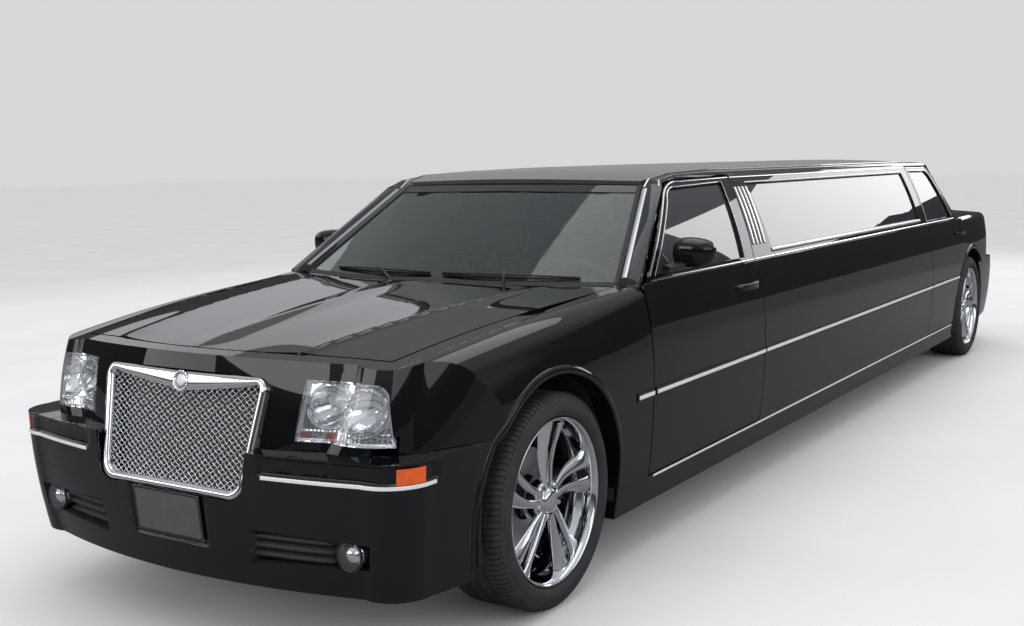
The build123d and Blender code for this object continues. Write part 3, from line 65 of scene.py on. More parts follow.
REAR_DOOR = (REAR_X + 0.205, REAR_X + 1.175)
MOULDING_Z = 0.631

# Body sections as (distance from the axle, half width, centre z, top y, top z, shoulder y, shoulder z)
FRONT_SECTIONS = [
    (-0.700, 0.940, 1.052, 0.842, 1.036, 0.903, 0.985),
    (-0.260, 0.938, 1.034, 0.806, 1.004, 0.903, 0.930),
    (0.220, 0.929, 1.000, 0.776, 0.962, 0.893, 0.880),
    (0.600, 0.905, 0.955, 0.742, 0.912, 0.862, 0.835),
    (0.960, 0.850, 0.900, 0.700, 0.862, 0.810, 0.800),
]
REAR_SECTIONS = [
    (0.205, 0.940, 1.085, 0.846, 1.048, 0.903, 0.985),
    (-0.300, 0.936, 1.088, 0.826, 1.050, 0.896, 0.980),
    (-0.740, 0.914, 1.076, 0.796, 1.042, 0.870, 0.965),
    (-1.120, 0.862, 1.054, 0.756, 1.022, 0.812, 0.935),
]
# Plan outlines as (z, reach, corner reach, corner y, side reach, side y)
NOSE_LEVELS = [
    (0.640, 0.842, 0.742, 0.540, 0.624, 0.800),
    (0.780, 0.812, 0.704, 0.600, 0.588, 0.795),
    (1.040, 0.754, 0.612, 0.600, 0.490, 0.773),
]
BUMPER_LEVELS = [
    (0.225, 0.840, 0.745, 0.690, 0.620, 0.845),
    (0.440, 0.879, 0.786, 0.712, 0.634, 0.868),
    (0.655, 0.880, 0.792, 0.730, 0.640, 0.882),
]
TAIL_LEVELS = [
    (0.640, 1.052, 0.985, 0.640, 0.850, 0.850),
    (1.100, 1.034, 0.960, 0.600, 0.830, 0.800),
]
REAR_BUMPER_LEVELS = [
    (0.235, 1.045, 0.965, 0.690, 0.830, 0.858),
    (0.440, 1.066, 0.988, 0.706, 0.850, 0.886),
    (0.690, 1.069, 0.994, 0.710, 0.856, 0.890),
]

# Where a bumper's plan outline starts: its distance from the axle and half width
BUMPER_BACK = 0.180
BUMPER_SIDE = 0.908

SIDES = (("left", 1), ("right", -1))


def side_y(z):
    """Half width of the body side at height z."""
    r = LOWER_SIDE_R if z < WAIST_Z else UPPER_SIDE_R
    return HALF_WIDTH - r + math.sqrt(r * r - (z - WAIST_Z) ** 2)


def glass_y(z):
    """Half width of the glass house at height z."""
    share = (z - BELT_Z) / (RAIL_Z - BELT_Z)
    return GLASS_BASE_Y + (GLASS_TOP_Y - GLASS_BASE_Y) * share + 4 * GLASS_BULGE * share * (1 - share)


# Materials

def socket(node, name, value):
    node.inputs[name].default_value = value


def material(name, base, rough, metal=0.0, coat=0.0, coat_rough=0.03, ior=1.5, transmission=0.0, sheen=0.0,
             mottle=0.0, mottle_scale=6.0, rough_spread=0.0, grain=(), emission=0.0, specular=0.5):
    """A principled finish with soft colour and roughness variation and up to three grains of bump."""
    mat = bpy.data.materials.new(name)
    mat.use_nodes = True
    tree = mat.node_tree
    shader = tree.nodes["Principled BSDF"]
    for key, value in (("Base Color", (*base, 1)), ("Roughness", rough), ("Metallic", metal), ("IOR", ior),
                       ("Coat Weight", coat), ("Coat Roughness", coat_rough), ("Sheen Weight", sheen),
                       ("Transmission Weight", transmission), ("Specular IOR Level", specular)):
        socket(shader, key, value)
    if emission:
        socket(shader, "Emission Color", (*base, 1))
        socket(shader, "Emission Strength", emission)
    place = tree.nodes.new("ShaderNodeTexCoord").outputs["Object"]
    if mottle or rough_spread:
        cloud = tree.nodes.new("ShaderNodeTexNoise")
        socket(cloud, "Scale", mottle_scale)
        socket(cloud, "Detail", 5)
        tree.links.new(place, cloud.inputs["Vector"])
    if mottle:
        ramp = tree.nodes.new("ShaderNodeValToRGB")
        for stop, share, position in ((0, 1 - mottle, 0.3), (1, 1 + mottle, 0.7)):
            ramp.color_ramp.elements[stop].position = position
            ramp.color_ramp.elements[stop].color = (*[min(1, c * share) for c in base], 1)
        tree.links.new(cloud.outputs["Fac"], ramp.inputs["Fac"])
        tree.links.new(ramp.outputs["Color"], shader.inputs["Base Color"])
    if rough_spread:
        span = tree.nodes.new("ShaderNodeMapRange")
        socket(span, "To Min", max(0, rough - rough_spread))
        socket(span, "To Max", min(1, rough + rough_spread))
        tree.links.new(cloud.outputs["Fac"], span.inputs["Value"])
        tree.links.new(span.outputs["Result"], shader.inputs["Roughness"])
    last = None
    for kind, scale, strength, depth in grain:
        texture = tree.nodes.new("ShaderNodeTexVoronoi" if kind == "cells" else "ShaderNodeTexNoise")
        socket(texture, "Scale", scale)
        tree.links.new(place, texture.inputs["Vector"])
        bump = tree.nodes.new("ShaderNodeBump")
        socket(bump, "Strength", strength)
        socket(bump, "Distance", depth)
        tree.links.new(texture.outputs["Distance" if kind == "cells" else "Fac"], bump.inputs["Height"])
        if last:
            tree.links.new(last.outputs["Normal"], bump.inputs["Normal"])
        last = bump
    if last:
        tree.links.new(last.outputs["Normal"], shader.inputs["Normal"])
    return mat


def wood_material():
    """Dark polished veneer with long wavy figure."""
    mat = material("wood_veneer", (0.16, 0.06, 0.022), 0.25, coat=0.8)
    tree = mat.node_tree
    place = next(n for n in tree.nodes if n.type == "TEX_COORD").outputs["Object"]
    stretch = tree.nodes.new("ShaderNodeMapping")
    socket(stretch, "Scale", (0.10, 1.0, 1.0))
    wave = tree.nodes.new("ShaderNodeTexWave")
    wave.bands_direction = "DIAGONAL"
    socket(wave, "Scale", 9)
    socket(wave, "Distortion", 6)
    socket(wave, "Detail", 4)
    socket(wave, "Detail Scale", 2.5)
    ramp = tree.nodes.new("ShaderNodeValToRGB")
    ramp.color_ramp.elements[0].color = (0.07, 0.022, 0.008, 1)
    ramp.color_ramp.elements[1].color = (0.26, 0.11, 0.04, 1)
    tree.links.new(place, stretch.inputs["Vector"])
    tree.links.new(stretch.outputs[0], wave.inputs["Vector"])
    tree.links.new(wave.outputs["Fac"], ramp.inputs["Fac"])
    tree.links.new(ramp.outputs["Color"], tree.nodes["Principled BSDF"].inputs["Base Color"])
    return mat


PAINT = material("black_gloss_paint", (0.0035, 0.0035, 0.0042), 0.16, coat=1.0, coat_rough=0.012, mottle=0.25,
                 mottle_scale=3, rough_spread=0.05, specular=0.0)
VINYL = material("grained_vinyl", (0.020, 0.020, 0.021), 0.58, sheen=0.25, mottle=0.22, mottle_scale=9,
                 rough_spread=0.08, grain=[("cells", 420, 0.5, 0.0008), ("noise", 1400, 0.3, 0.0003)])
CHROME = material("polished_chrome", (0.83, 0.84, 0.86), 0.045, metal=1.0, mottle=0.03, rough_spread=0.025)
SATIN = material("satin_trim", (0.50, 0.51, 0.53), 0.30, metal=1.0, mottle=0.06, rough_spread=0.06,
                 grain=[("noise", 900, 0.06, 0.0002)])
BLACK_TRIM = material("black_trim", (0.012, 0.012, 0.013), 0.42, mottle=0.2, rough_spread=0.08,
                      grain=[("noise", 900, 0.2, 0.0003)])
SEAL = material("rubber_seal", (0.008, 0.008, 0.008), 0.65, mottle=0.2, grain=[("noise", 600, 0.2, 0.0004)])
TINT = material("tinted_glass", (0.020, 0.025, 0.031), 0.012, ior=1.75, transmission=0.45, mottle=0.1,
                mottle_scale=1.5, specular=0.9)
SCREEN = material("windscreen_glass", (0.66, 0.76, 0.72), 0.006, ior=1.38, transmission=1.0, mottle=0.02)
LENS = material("lamp_lens", (0.97, 0.98, 0.99), 0.01, ior=1.45, transmission=0.97, mottle=0.01)
REFLECTOR = material("lamp_reflector", (0.88, 0.89, 0.91), 0.07, metal=1.0, mottle=0.04, rough_spread=0.04,
                     grain=[("cells", 110, 0.22, 0.0012)])
AMBER = material("amber_lens", (0.60, 0.085, 0.006), 0.10, coat=0.8, mottle=0.12, mottle_scale=60,
                 grain=[("cells", 260, 0.25, 0.0008)])
RED = material("red_lens", (0.42, 0.008, 0.012), 0.10, coat=0.9, mottle=0.15, mottle_scale=60,
               grain=[("cells", 240, 0.25, 0.0008)])
TYRE = material("tyre_rubber", (0.020, 0.020, 0.021), 0.72, mottle=0.25, mottle_scale=14, rough_spread=0.08,
                grain=[("noise", 700, 0.25, 0.0005)])
STEEL = material("underbody_steel", (0.045, 0.045, 0.047), 0.55, metal=0.4, mottle=0.3, mottle_scale=18,
                 rough_spread=0.12, grain=[("noise", 300, 0.25, 0.0008)])
BARE_STEEL = material("machined_steel", (0.44, 0.44, 0.45), 0.32, metal=1.0, mottle=0.15, rough_spread=0.1,
                      grain=[("noise", 400, 0.1, 0.0004)])
IRON = material("cast_iron", (0.16, 0.16, 0.165), 0.6, metal=0.6, mottle=0.25, mottle_scale=22,
                grain=[("noise", 180, 0.5, 0.0015)])
PLASTIC = material("moulded_plastic", (0.022, 0.022, 0.024), 0.55, mottle=0.15, rough_spread=0.06,
                   grain=[("cells", 700, 0.3, 0.0004)])
LEATHER = material("black_leather", (0.026, 0.024, 0.023), 0.46, sheen=0.15, mottle=0.2, mottle_scale=12,
                   rough_spread=0.08, grain=[("cells", 380, 0.35, 0.0006), ("noise", 30, 0.2, 0.002)])
PLATE = material("blank_plate", (0.060, 0.061, 0.064), 0.45, mottle=0.08, mottle_scale=20,
                 grain=[("noise", 240, 0.08, 0.0004)])
BRIGHT = material("bright_strip", (0.80, 0.81, 0.82), 0.22, metal=0.35, mottle=0.03, rough_spread=0.04)
WHITE_LENS = material("white_lens", (0.78, 0.79, 0.80), 0.12, coat=0.8, mottle=0.08, mottle_scale=60,
                      grain=[("cells", 240, 0.25, 0.0008)])
MIRROR = material("mirror_glass", (0.80, 0.82, 0.84), 0.01, metal=1.0, mottle=0.02)
WOOD = wood_material()

SLOT_FINISH = {
    "black_paint": PAINT, "black_vinyl": VINYL, "chrome": CHROME, "tinted_glass": TINT, "clear_glass": LENS,
    "lamp_bowl": REFLECTOR, "red_lens": RED, "tyre": TYRE, "dark_steel": STEEL, "exhaust_steel": BARE_STEEL,
    "cast_iron": IRON, "dark_plastic": PLASTIC, "black_leather": LEATHER, "wood": WOOD,
}
SLOT_OF = {entry["node"]: entry["material_slot"] for entry in frame["record"]["subparts"]}
BODY_OF = {node: body for body, members in frame["record"]["behaviour"]["bodies"].items() for node in members}
for node_name, node_object in frame["nodes"].items():
    node_object.data.materials.clear()
    node_object.data.materials.append(SLOT_FINISH[SLOT_OF[node_name]])


# Mesh helpers

def add_piece(name, verts, faces, finish, body, smooth=40.0, slot=None):
    """A mesh object that rides on a body, smooth up to the given angle between faces."""
    mesh = bpy.data.meshes.new(name)
    mesh.from_pydata([tuple(v) for v in verts], [], [tuple(f) for f in faces])
    return finish_piece(name, mesh, finish, body, smooth)


def finish_piece(name, mesh, finish, body, smooth=40.0):
    mesh.validate()
    mesh.update()
    if smooth:
        mesh.polygons.foreach_set("use_smooth", [True] * len(mesh.polygons))
        mesh.set_sharp_from_angle(angle=math.radians(smooth))
    mesh.materials.append(finish)
    piece = bpy.data.objects.new(name, mesh)
    bpy.context.scene.collection.objects.link(piece)
    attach(piece, body)
    return piece


def turn_faces(faces, sign):
    """Faces as they are, or facing the other way where sign is -1."""
    return faces if sign > 0 else [tuple(reversed(f)) for f in faces]


def flip_side(verts, faces, sign):
    """The same shape on the car's left (1) or mirrored to its right (-1)."""
    return verts if sign > 0 else [(x, -y, z) for x, y, z in verts], turn_faces(faces, sign)


def grid_faces(rows, columns, loop_rows=False, loop_columns=False):
    """Quads over rows x columns points, closed on themselves where a loop is asked for."""
    faces = []
    for i in range(rows if loop_rows else rows - 1):
        for j in range(columns if loop_columns else columns - 1):
            a, b = i * columns + j, i * columns + (j + 1) % columns
            c, d = ((i + 1) % rows) * columns + (j + 1) % columns, ((i + 1) % rows) * columns + j
            faces.append((a, b, c, d))
    return faces


def sweep(path, outs, profile, closed=False):
    """Sweeps a closed profile of (out, side) points along a path. outs gives each point's outward way."""
    verts = []
    count = len(path)
    for i, (point, out) in enumerate(zip(path, outs)):
        ahead = path[(i + 1) % count] if closed or i + 1 < count else path[i]
        behind = path[i - 1] if closed or i else path[i]
        along = (Vector(ahead) - Vector(behind)).normalized()
        out = Vector(out)
        out = (out - along * out.dot(along)).normalized()
        across = along.cross(out)
        verts += [Vector(point) + out * a + across * b for a, b in profile]
    n = len(profile)
    faces = grid_faces(count, n, closed, True)
    if not closed:
        faces += [tuple(reversed(range(n))), tuple(range((count - 1) * n, count * n))]
    return verts, faces


STRIP_SINK = 0.001


def bar_profile(width, height, crown=0.35):
    """A low rounded strip section: width across, height out from the surface."""
    w, low = width / 2, height * (1 - crown)
    return [(-STRIP_SINK, -w), (low, -w), (height * 0.93, -w * 0.62), (height, 0), (height * 0.93, w * 0.62),
            (low, w), (-STRIP_SINK, w)]


def round_profile(radius, count=8):
    turns = [2 * math.pi * k / count for k in range(count)]
    return [(radius * math.cos(t), radius * math.sin(t)) for t in turns]


def strip(name, path, outs, width, height, finish, body, sign=1, crown=0.35):
    """A piece that is a low rounded bar along a path on the left side, or mirrored to the right."""
    shape = sweep(path, outs, bar_profile(width, height, crown=crown))
    add_piece(name, *flip_side(*shape, sign), finish, body)


def lathe(profile, segments, axis_y, centre, loop=False):
    """Turns (radius, offset) points about a line along Y through centre. axis_y is 1 or -1 for the side."""
    verts = []
    for k in range(segments):
        t = 2 * math.pi * k / segments
        for r, y in profile:
            verts.append((centre[0] + r * math.cos(t), centre[1] + axis_y * y, centre[2] + r * math.sin(t)))
    return verts, turn_faces(grid_faces(segments, len(profile), True, loop), axis_y)


def join(parts):
    """Joins several (verts, faces) into one."""
    verts, faces = [], []
    for v, f in parts:
        base = len(verts)
        verts += [tuple(p) for p in v]
        faces += [tuple(i + base for i in face) for face in f]
    return verts, faces


def rounded_box(low, high, radius, segments=3):
    """A box with rounded edges as (verts, faces)."""
    bm = bmesh.new()
    bmesh.ops.create_cube(bm, size=1)
    size = [h - l for l, h in zip(low, high)]
    middle = [(h + l) / 2 for l, h in zip(low, high)]
    for v in bm.verts:
        v.co = Vector([m + c * s for m, c, s in zip(middle, v.co, size)])
    bmesh.ops.bevel(bm, geom=bm.edges[:] + bm.verts[:], offset=radius, segments=segments, profile=0.5,
                    affect="EDGES")
    verts = [tuple(v.co) for v in bm.verts]
    faces = [tuple(v.index for v in f.verts) for f in bm.faces]
    bm.free()
    return verts, faces


# Smooth skins: the exact lofts of the body, which the panels' outer faces are fitted to

def arc_points(a, m, b, count):
    """Points from a to b on the arc through m, without the last one."""
    a, m, b = np.array(a), np.array(m), np.array(b)
    (mx, my), (bx, by) = m - a, b - a
    area = 2 * (mx * by - my * bx)
    if abs(area) < 1e-12:
        return [a + (b - a) * k / count for k in range(count)]
    am, ab = (m - a) @ (m - a), (b - a) @ (b - a)
    centre = a + np.array([by * am - my * ab, mx * ab - bx * am]) / area
    start, end = (math.atan2(*(p - centre)[::-1]) for p in (a, b))
    through = math.atan2(*(m - centre)[::-1])
    turn = (end - start) % (2 * math.pi)
    if (through - start) % (2 * math.pi) > turn:
        turn -= 2 * math.pi
    radius = np.linalg.norm(a - centre)
    angles = [start + turn * k / count for k in range(count)]
    return [centre + radius * np.array([math.cos(t), math.sin(t)]) for t in angles]


def chain(start, steps, count):
    """Points along arcs given as (through, end) pairs."""
    points, here = [], start
    for through, end in steps:
        points += arc_points(here, through, end, count)
        here = end
    return np.array(points + [np.array(here)])


def body_outline(width, centre_z, top_y, top_z, shoulder_y, shoulder_z):
    """A body section from the left sill over the top to the right sill."""
    r = LOWER_SIDE_R
    base_y = width - r + math.sqrt(r * r - (SILL_Z - WAIST_Z) ** 2)
    low = (SILL_Z + WAIST_Z) / 2
    low_y = width - r + math.sqrt(r * r - (low - WAIST_Z) ** 2)
    mid = (WAIST_Z + shoulder_z) / 2
    mid_y = (width + shoulder_y) / 2 + (width - shoulder_y) * 0.25
    corner = ((shoulder_y + top_y) / 2 + 0.207 * (shoulder_y - top_y),
              (shoulder_z + top_z) / 2 + 0.207 * (top_z - shoulder_z))
    crown_z = top_z + 0.75 * (centre_z - top_z)
    steps = [((low_y, low), (width, WAIST_Z)), ((mid_y, mid), (shoulder_y, shoulder_z)),
             (corner, (top_y, top_z)), ((top_y / 2, crown_z), (0, centre_z))]
    half = chain((base_y, SILL_Z), steps, 12)
    return np.concatenate([half, half[-2::-1] * (-1, 1)])


def plan_outline(level, back, side, axle_x, sign):
    """A nose's or tail's outline seen from above, from the left flank round to the right one."""
    _, reach, corner_reach, corner_y, side_reach, side_corner_y = level
    mx, my = (corner_reach + side_reach) / 2 + 0.042, (corner_y + side_corner_y) / 2 + 0.028
    bulge = corner_reach + (reach - corner_reach) * 0.75
    side_mid = (side_reach * 0.5 + back * 0.5, (side_corner_y + side) / 2 + 0.009)
    steps = [(side_mid, (side_reach, side_corner_y)), ((mx, my), (corner_reach, corner_y)),
             ((bulge, corner_y / 2), (reach, 0))]
    half = chain((back, side), steps, 14)
    full = np.concatenate([half, half[-2::-1] * (1, -1)])
    return full * (sign, 1) + (axle_x, 0)


def through_all(stations, curves, samples):
    """Curves between stations on the polynomial through all of them."""
    result = []
    for t in samples:
        total = 0
        for i, here in enumerate(stations):
            share = 1.0
            for j, other in enumerate(stations):
                if j != i:
                    share *= (t - other) / (here - other)
            total = total + share * curves[i]
        result.append(total)
    return np.array(result)


class Skin:
    """A dense smooth sheet with normals, to which panels are fitted."""

    def __init__(self, points):
        rows, columns, _ = points.shape
        du, dv = np.gradient(points, axis=0), np.gradient(points, axis=1)
        normals = np.cross(du, dv)
        normals /= np.linalg.norm(normals, axis=2, keepdims=True) + 1e-12
        middle = points.reshape(-1, 3).mean(0)
        if ((points - middle) * normals).sum() < 0:
            normals = -normals
        self.normals = normals.reshape(-1, 3)
        self.points = points.reshape(-1, 3)
        self.faces = grid_faces(rows, columns)
        self.tree = BVHTree.FromPolygons([Vector(p) for p in self.points], self.faces)

    def near(self, point, limit):
        """Nearest place and its smooth normal, or None if it is further than limit."""
        place, _, index, distance = self.tree.find_nearest(point, limit)
        if place is None:
            return None
        corners = self.faces[index]
        weights = poly_3d_calc([Vector(self.points[i]) for i in corners], place)
        normal = sum((Vector(self.normals[i]) * w for i, w in zip(corners, weights)), Vector())
        return place, normal.normalized(), distance


def body_skin(table, axle_x):
    stations = [axle_x + row[0] for row in table]
    curves = [body_outline(*row[1:]) for row in table]
    low, high = min(stations), max(stations)
    samples = np.linspace(low, high, 60)
    flat = through_all(stations, curves, samples)
    points = np.stack([np.broadcast_to(samples[:, None], flat.shape[:2]), flat[..., 0], flat[..., 1]], axis=2)
    return Skin(points)


def plan_skin(levels, back, side, axle_x, sign):
    stations = [row[0] for row in levels]
    curves = [plan_outline(row, back, side, axle_x, sign) for row in levels]
    samples = np.linspace(stations[0], stations[-1], 24)
    flat = through_all(stations, curves, samples)
    points = np.stack([flat[..., 0], flat[..., 1], np.broadcast_to(samples[:, None], flat.shape[:2])], axis=2)
    return Skin(points)


def straight_skin(curve, x0, x1, sign):
    xs = np.linspace(x0, x1, 3)
    points = np.array([[(x, sign * y, z) for y, z in curve] for x in xs])
    skin = Skin(points)
    if (skin.normals[:, 1] * sign).sum() < 0:
        skin.normals = -skin.normals
    return skin


side_curve = [(side_y(z), z) for z in np.linspace(SILL_Z, BELT_Z, 80)]
house_curve = [(glass_y(z), z) for z in np.linspace(BELT_Z - 0.03, RAIL_Z + 0.01, 50)]
SKINS = {
    "side_left": straight_skin(side_curve, REAR_X, FRONT_X, 1),
    "side_right": straight_skin(side_curve, REAR_X, FRONT_X, -1),
    "house_left": straight_skin(house_curve, -2.7, 2.6, 1),
    "house_right": straight_skin(house_curve, -2.7, 2.6, -1),
    "front": body_skin(FRONT_SECTIONS, FRONT_X),
    "rear": body_skin(REAR_SECTIONS, REAR_X),
    "nose": plan_skin(NOSE_LEVELS, 0.300, 0.930, FRONT_X, 1),
    "tail": plan_skin(TAIL_LEVELS, 0.500, 0.930, REAR_X, -1),
    "front_bumper": plan_skin(BUMPER_LEVELS, BUMPER_BACK, BUMPER_SIDE, FRONT_X, 1),
    "rear_bumper": plan_skin(REAR_BUMPER_LEVELS, BUMPER_BACK, BUMPER_SIDE, REAR_X, -1),
}
# How near a face lies to the sheet it belongs to, how far a corner is moved, how far a normal is looked for
FIT_LIMIT = 0.0022
SNAP_LIMIT = 0.008
NORMAL_LIMIT = 0.01
# The tag of the faces beside a panel's skin and the angle up to which skins are smooth
BESIDE = -1
SKIN_SMOOTH = 32.0


def best_sheet(face, centre, sheets):
    """The number, from 1, of the sheet that a face lies on, or 0. A sliver's normal isn't asked for."""
    number, best = 0, FIT_LIMIT * 2
    longest = max(e.calc_length() for e in face.edges)
    sliver = face.calc_area() < 0.01 * longest * longest
    for i, sheet in enumerate(sheets):
        found = sheet.near(centre, best)
        if not found or not all(sheet.near(v.co, best) for v in face.verts):
            continue
        if found[1].dot(face.normal) > 0.8 or sliver:
            number, best = i + 1, found[2] + 1e-6
    return number


CREASE_BACK_X = 2.56
CREASE_FRONT_X = 3.90
CENTRE_CREASE = 0.0075
SIDE_CREASE = 0.0100


def crease(point):
    """Height of the hood's pressed lines over its plain surface."""
    x, y = point.x, abs(point.y)
    fade = max(0.0, min(1.0, (x - CREASE_BACK_X) / 0.25)) * max(0.0, min(1.0, (CREASE_FRONT_X - x) / 0.16))
    centre = CENTRE_CREASE * max(0.0, 1 - y / 0.10) ** 1.5
    line_y = 0.400 + 0.13 * (3.85 - x)
    gap = y - line_y
    side = SIDE_CREASE * math.exp(gap / 0.10 if gap < 0 else -gap / 0.020)
    return fade * (centre + side)


def soft_step(value, low, high):
    share = max(0.0, min(1.0, (value - low) / (high - low)))
    return share * share * (3 - 2 * share)


def plate_seat(point, low_z):
    """The pressed seat of a number plate, from 0 to 1, over 0.19 m from low_z."""
    y, z = abs(point.y), point.z
    return (1 - soft_step(y, 0.158, 0.170)) * soft_step(z, low_z, low_z + 0.012) * (
        1 - soft_step(z, low_z + 0.178, low_z + 0.190))


def bumper_press(point):
    """Depth of the recessed band over the bumper's chrome strip and of the seat of the number plate."""
    x, y, z = point.x, abs(point.y), point.z
    band = soft_step(z, 0.590, 0.600) * (1 - soft_step(z, 0.640, 0.652))
    band *= soft_step(y, 0.375, 0.400) * soft_step(x, FRONT_X + 0.600, FRONT_X + 0.640)
    return -0.009 * band - 0.008 * plate_seat(point, 0.330)


def rear_bumper_press(point):
    return -0.008 * plate_seat(point, 0.440)


def press_slope(press, point, normal, step=0.003):
    """The slope vector of a press along the surface."""
    first = normal.orthogonal().normalized()
    second = normal.cross(first)
    slope = Vector()
    for way in (first, second):
        slope += way * ((press(point + way * step) - press(point - way * step)) / (2 * step))
    return slope


def skinned(node, skins, cell, press=None, cuts=(), where=None, paint=()):
    """A copy of a panel whose outer faces lie on the smooth skins, with their normals.

    cell is the longest step between cuts on each axis and cuts are further (axis, place) cuts. press gives a
    height over the skin. paint is (test, finish) pairs for faces that aren't part of the skin.
    """
    bm = bmesh.new()
    bm.from_mesh(frame["nodes"][node].data)
    bmesh.ops.remove_doubles(bm, verts=bm.verts[:], dist=1e-5)
    tag = bm.faces.layers.int.new("skin")
    sheets = [SKINS[s] for s in skins]
    for face in bm.faces:
        centre = face.calc_center_median()
        face[tag] = best_sheet(face, centre, sheets) if not where or where(centre) else 0
    beside = [f for f in bm.faces if not f[tag] and any(g[tag] > 0 for v in f.verts for g in v.link_faces)]
    for face in beside:
        face[tag] = BESIDE
    coords = np.array([v.co for v in bm.verts])
    places = list(cuts)
    for axis, step in enumerate(cell):
        low, high = coords[:, axis].min(), coords[:, axis].max()
        places += [(axis, k * step + 1e-4) for k in range(math.ceil(low / step), math.floor(high / step) + 1)]
    for axis, at in places:
        place, way = Vector((0, 0, 0)), Vector((0, 0, 0))
        place[axis], way[axis] = at, 1
        outer = [f for f in bm.faces if f[tag]]
        edges = list(dict.fromkeys(e for f in outer for e in f.edges))
        verts = list(dict.fromkeys(v for f in outer for v in f.verts))
        bmesh.ops.bisect_plane(bm, geom=outer + edges + verts, plane_co=place, plane_no=way, dist=1e-6)
    shifts = {}
    for vert in bm.verts:
        numbers = {f[tag] for f in vert.link_faces if f[tag] > 0}
        if len(numbers) != 1:
            continue
        found = sheets[numbers.pop() - 1].near(vert.co, SNAP_LIMIT)
        if found:
            vert.co += found[1] * (found[0] - vert.co).dot(found[1])
            shifts[vert] = vert.co + found[1] * press(vert.co) if press else vert.co.copy()
    loop_normals, finishes = [], [SLOT_FINISH[SLOT_OF[node]]] + [finish for _, finish in paint]
    for face in bm.faces:
        for loop in face.loops:
            normal = Vector()
            if face[tag] > 0:
                found = sheets[face[tag] - 1].near(loop.vert.co, NORMAL_LIMIT)
                normal = found[1] if found else face.normal.copy()
                if press:
                    normal = (normal - press_slope(press, loop.vert.co, normal)).normalized()
            loop_normals.append(normal)
        if face[tag] <= 0:
            for number, (test, _) in enumerate(paint):
                if test(face.calc_center_median()):
                    face.material_index = number + 1
    for vert, place in shifts.items():
        vert.co = place
    mesh = bpy.data.meshes.new(node + "_skin")
    bm.to_mesh(mesh)
    bm.free()
    piece = finish_piece(node + "_skin", mesh, finishes[0], BODY_OF[node], SKIN_SMOOTH)
    for finish in finishes[1:]:
        mesh.materials.append(finish)
    mesh.normals_split_custom_set(loop_normals)
    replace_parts(piece, node)


def smoothed(node, angle=40.0, paint=()):
    """A copy of a node with soft shading between faces that meet at a small angle."""
    bm = bmesh.new()
    bm.from_mesh(frame["nodes"][node].data)
    bmesh.ops.remove_doubles(bm, verts=bm.verts[:], dist=1e-5)
    for face in bm.faces:
        for number, (test, _) in enumerate(paint):
            if test(face.calc_center_median()):
                face.material_index = number + 1
    mesh = bpy.data.meshes.new(node + "_smooth")
    bm.to_mesh(mesh)
    bm.free()
    slot = SLOT_OF[node]
    piece = finish_piece(node + "_smooth", mesh, SLOT_FINISH[slot], BODY_OF[node], angle)
    for _, finish in paint:
        mesh.materials.append(finish)
    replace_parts(piece, node)


def between_doors(place):
    return place.z < 1.035 or (-1.885 < place.x < 1.300 and place.z < 1.405)


def door_card(place):
    return abs(place.y) < 0.868 and 0.33 < place.z < 1.035


def wall_card(place):
    return abs(place.y) < 0.905 and 0.36 < place.z < 1.035 and -1.90 < place.x < 1.30


def in_pocket(place):
    return place.x > FRONT_X + 0.66 and 0.29 < place.z < 0.43 and 0.30 < abs(place.y) < 0.76


bumper_cuts = [(2, z) for z in (0.330, 0.336, 0.342, 0.508, 0.514, 0.520, 0.590, 0.5935, 0.597, 0.600, 0.640,
                                0.644, 0.648, 0.652)]
seat_cuts = [(1, s * y) for s in (-1, 1) for y in (0.158, 0.162, 0.166, 0.170)]
bumper_cuts += seat_cuts + [(1, s * y) for s in (-1, 1) for y in (0.375, 0.383, 0.391, 0.400)]
bumper_cuts += [(0, FRONT_X + x) for x in (0.600, 0.610, 0.620, 0.630, 0.640)]
for side, sign in SIDES:
    flank = [f"side_{side}", f"house_{side}"]
    skinned(f"door_front_{side}", flank, (0.3, 9, 0.02), paint=[(door_card, LEATHER)])
    skinned(f"door_rear_{side}", flank, (0.3, 9, 0.02), paint=[(door_card, LEATHER)])
    skinned(f"body_side_{side}", flank, (0.5, 9, 0.02), where=between_doors, paint=[(wall_card, LEATHER)])
    skinned(f"fender_{side}", ["front", "nose"], (0.04, 0.03, 0.03))
    skinned(f"quarter_{side}", ["rear", "tail"], (0.04, 0.03, 0.03))
skinned("hood", ["front", "nose"], (0.03, 0.012, 9), press=crease)
skinned("nose_panel", ["front", "nose"], (0.03, 0.03, 0.03))
skinned("front_bumper", ["front_bumper", "nose", "front"], (0.04, 0.04, 0.04), press=bumper_press,
        cuts=bumper_cuts, paint=[(in_pocket, PLASTIC)])
skinned("boot_lid", ["rear", "tail"], (0.04, 0.05, 0.04))
skinned("rear_deck", ["rear"], (0.04, 0.05, 0.04))
skinned("rear_bumper", ["rear_bumper", "rear", "tail"], (0.04, 0.04, 0.04), press=rear_bumper_press,
        cuts=seat_cuts + [(2, z) for z in (0.440, 0.444, 0.448, 0.452, 0.618, 0.622, 0.626, 0.630)])
skinned("tail_lamps", ["rear", "tail"], (0.04, 0.04, 0.04))
skinned("lamp_lenses", ["front", "nose"], (0.03, 0.03, 0.03))
smoothed("roof", 30)
smoothed("fixed_windows", 30, [(lambda place: place.x > 1.4, SCREEN)])
for node in ("dashboard", "steering_wheel", "front_lamps", "exhaust_and_shaft", "rear_axle",
             "front_suspension", "knuckle_left", "knuckle_right", "cowl"):
    smoothed(node)

# Strips and bars on the sides

def side_point(width_at, x, z, lift):
    """A place on a side whose half width depends on the height, with its outward way."""
    slope = (width_at(z + 0.002) - width_at(z - 0.002)) / 0.004
    out = Vector((0, 1, -slope)).normalized()
    return Vector((x, width_at(z), z)) + out * lift, out


def house_point(x, z, lift):
    return side_point(glass_y, x, z, lift)


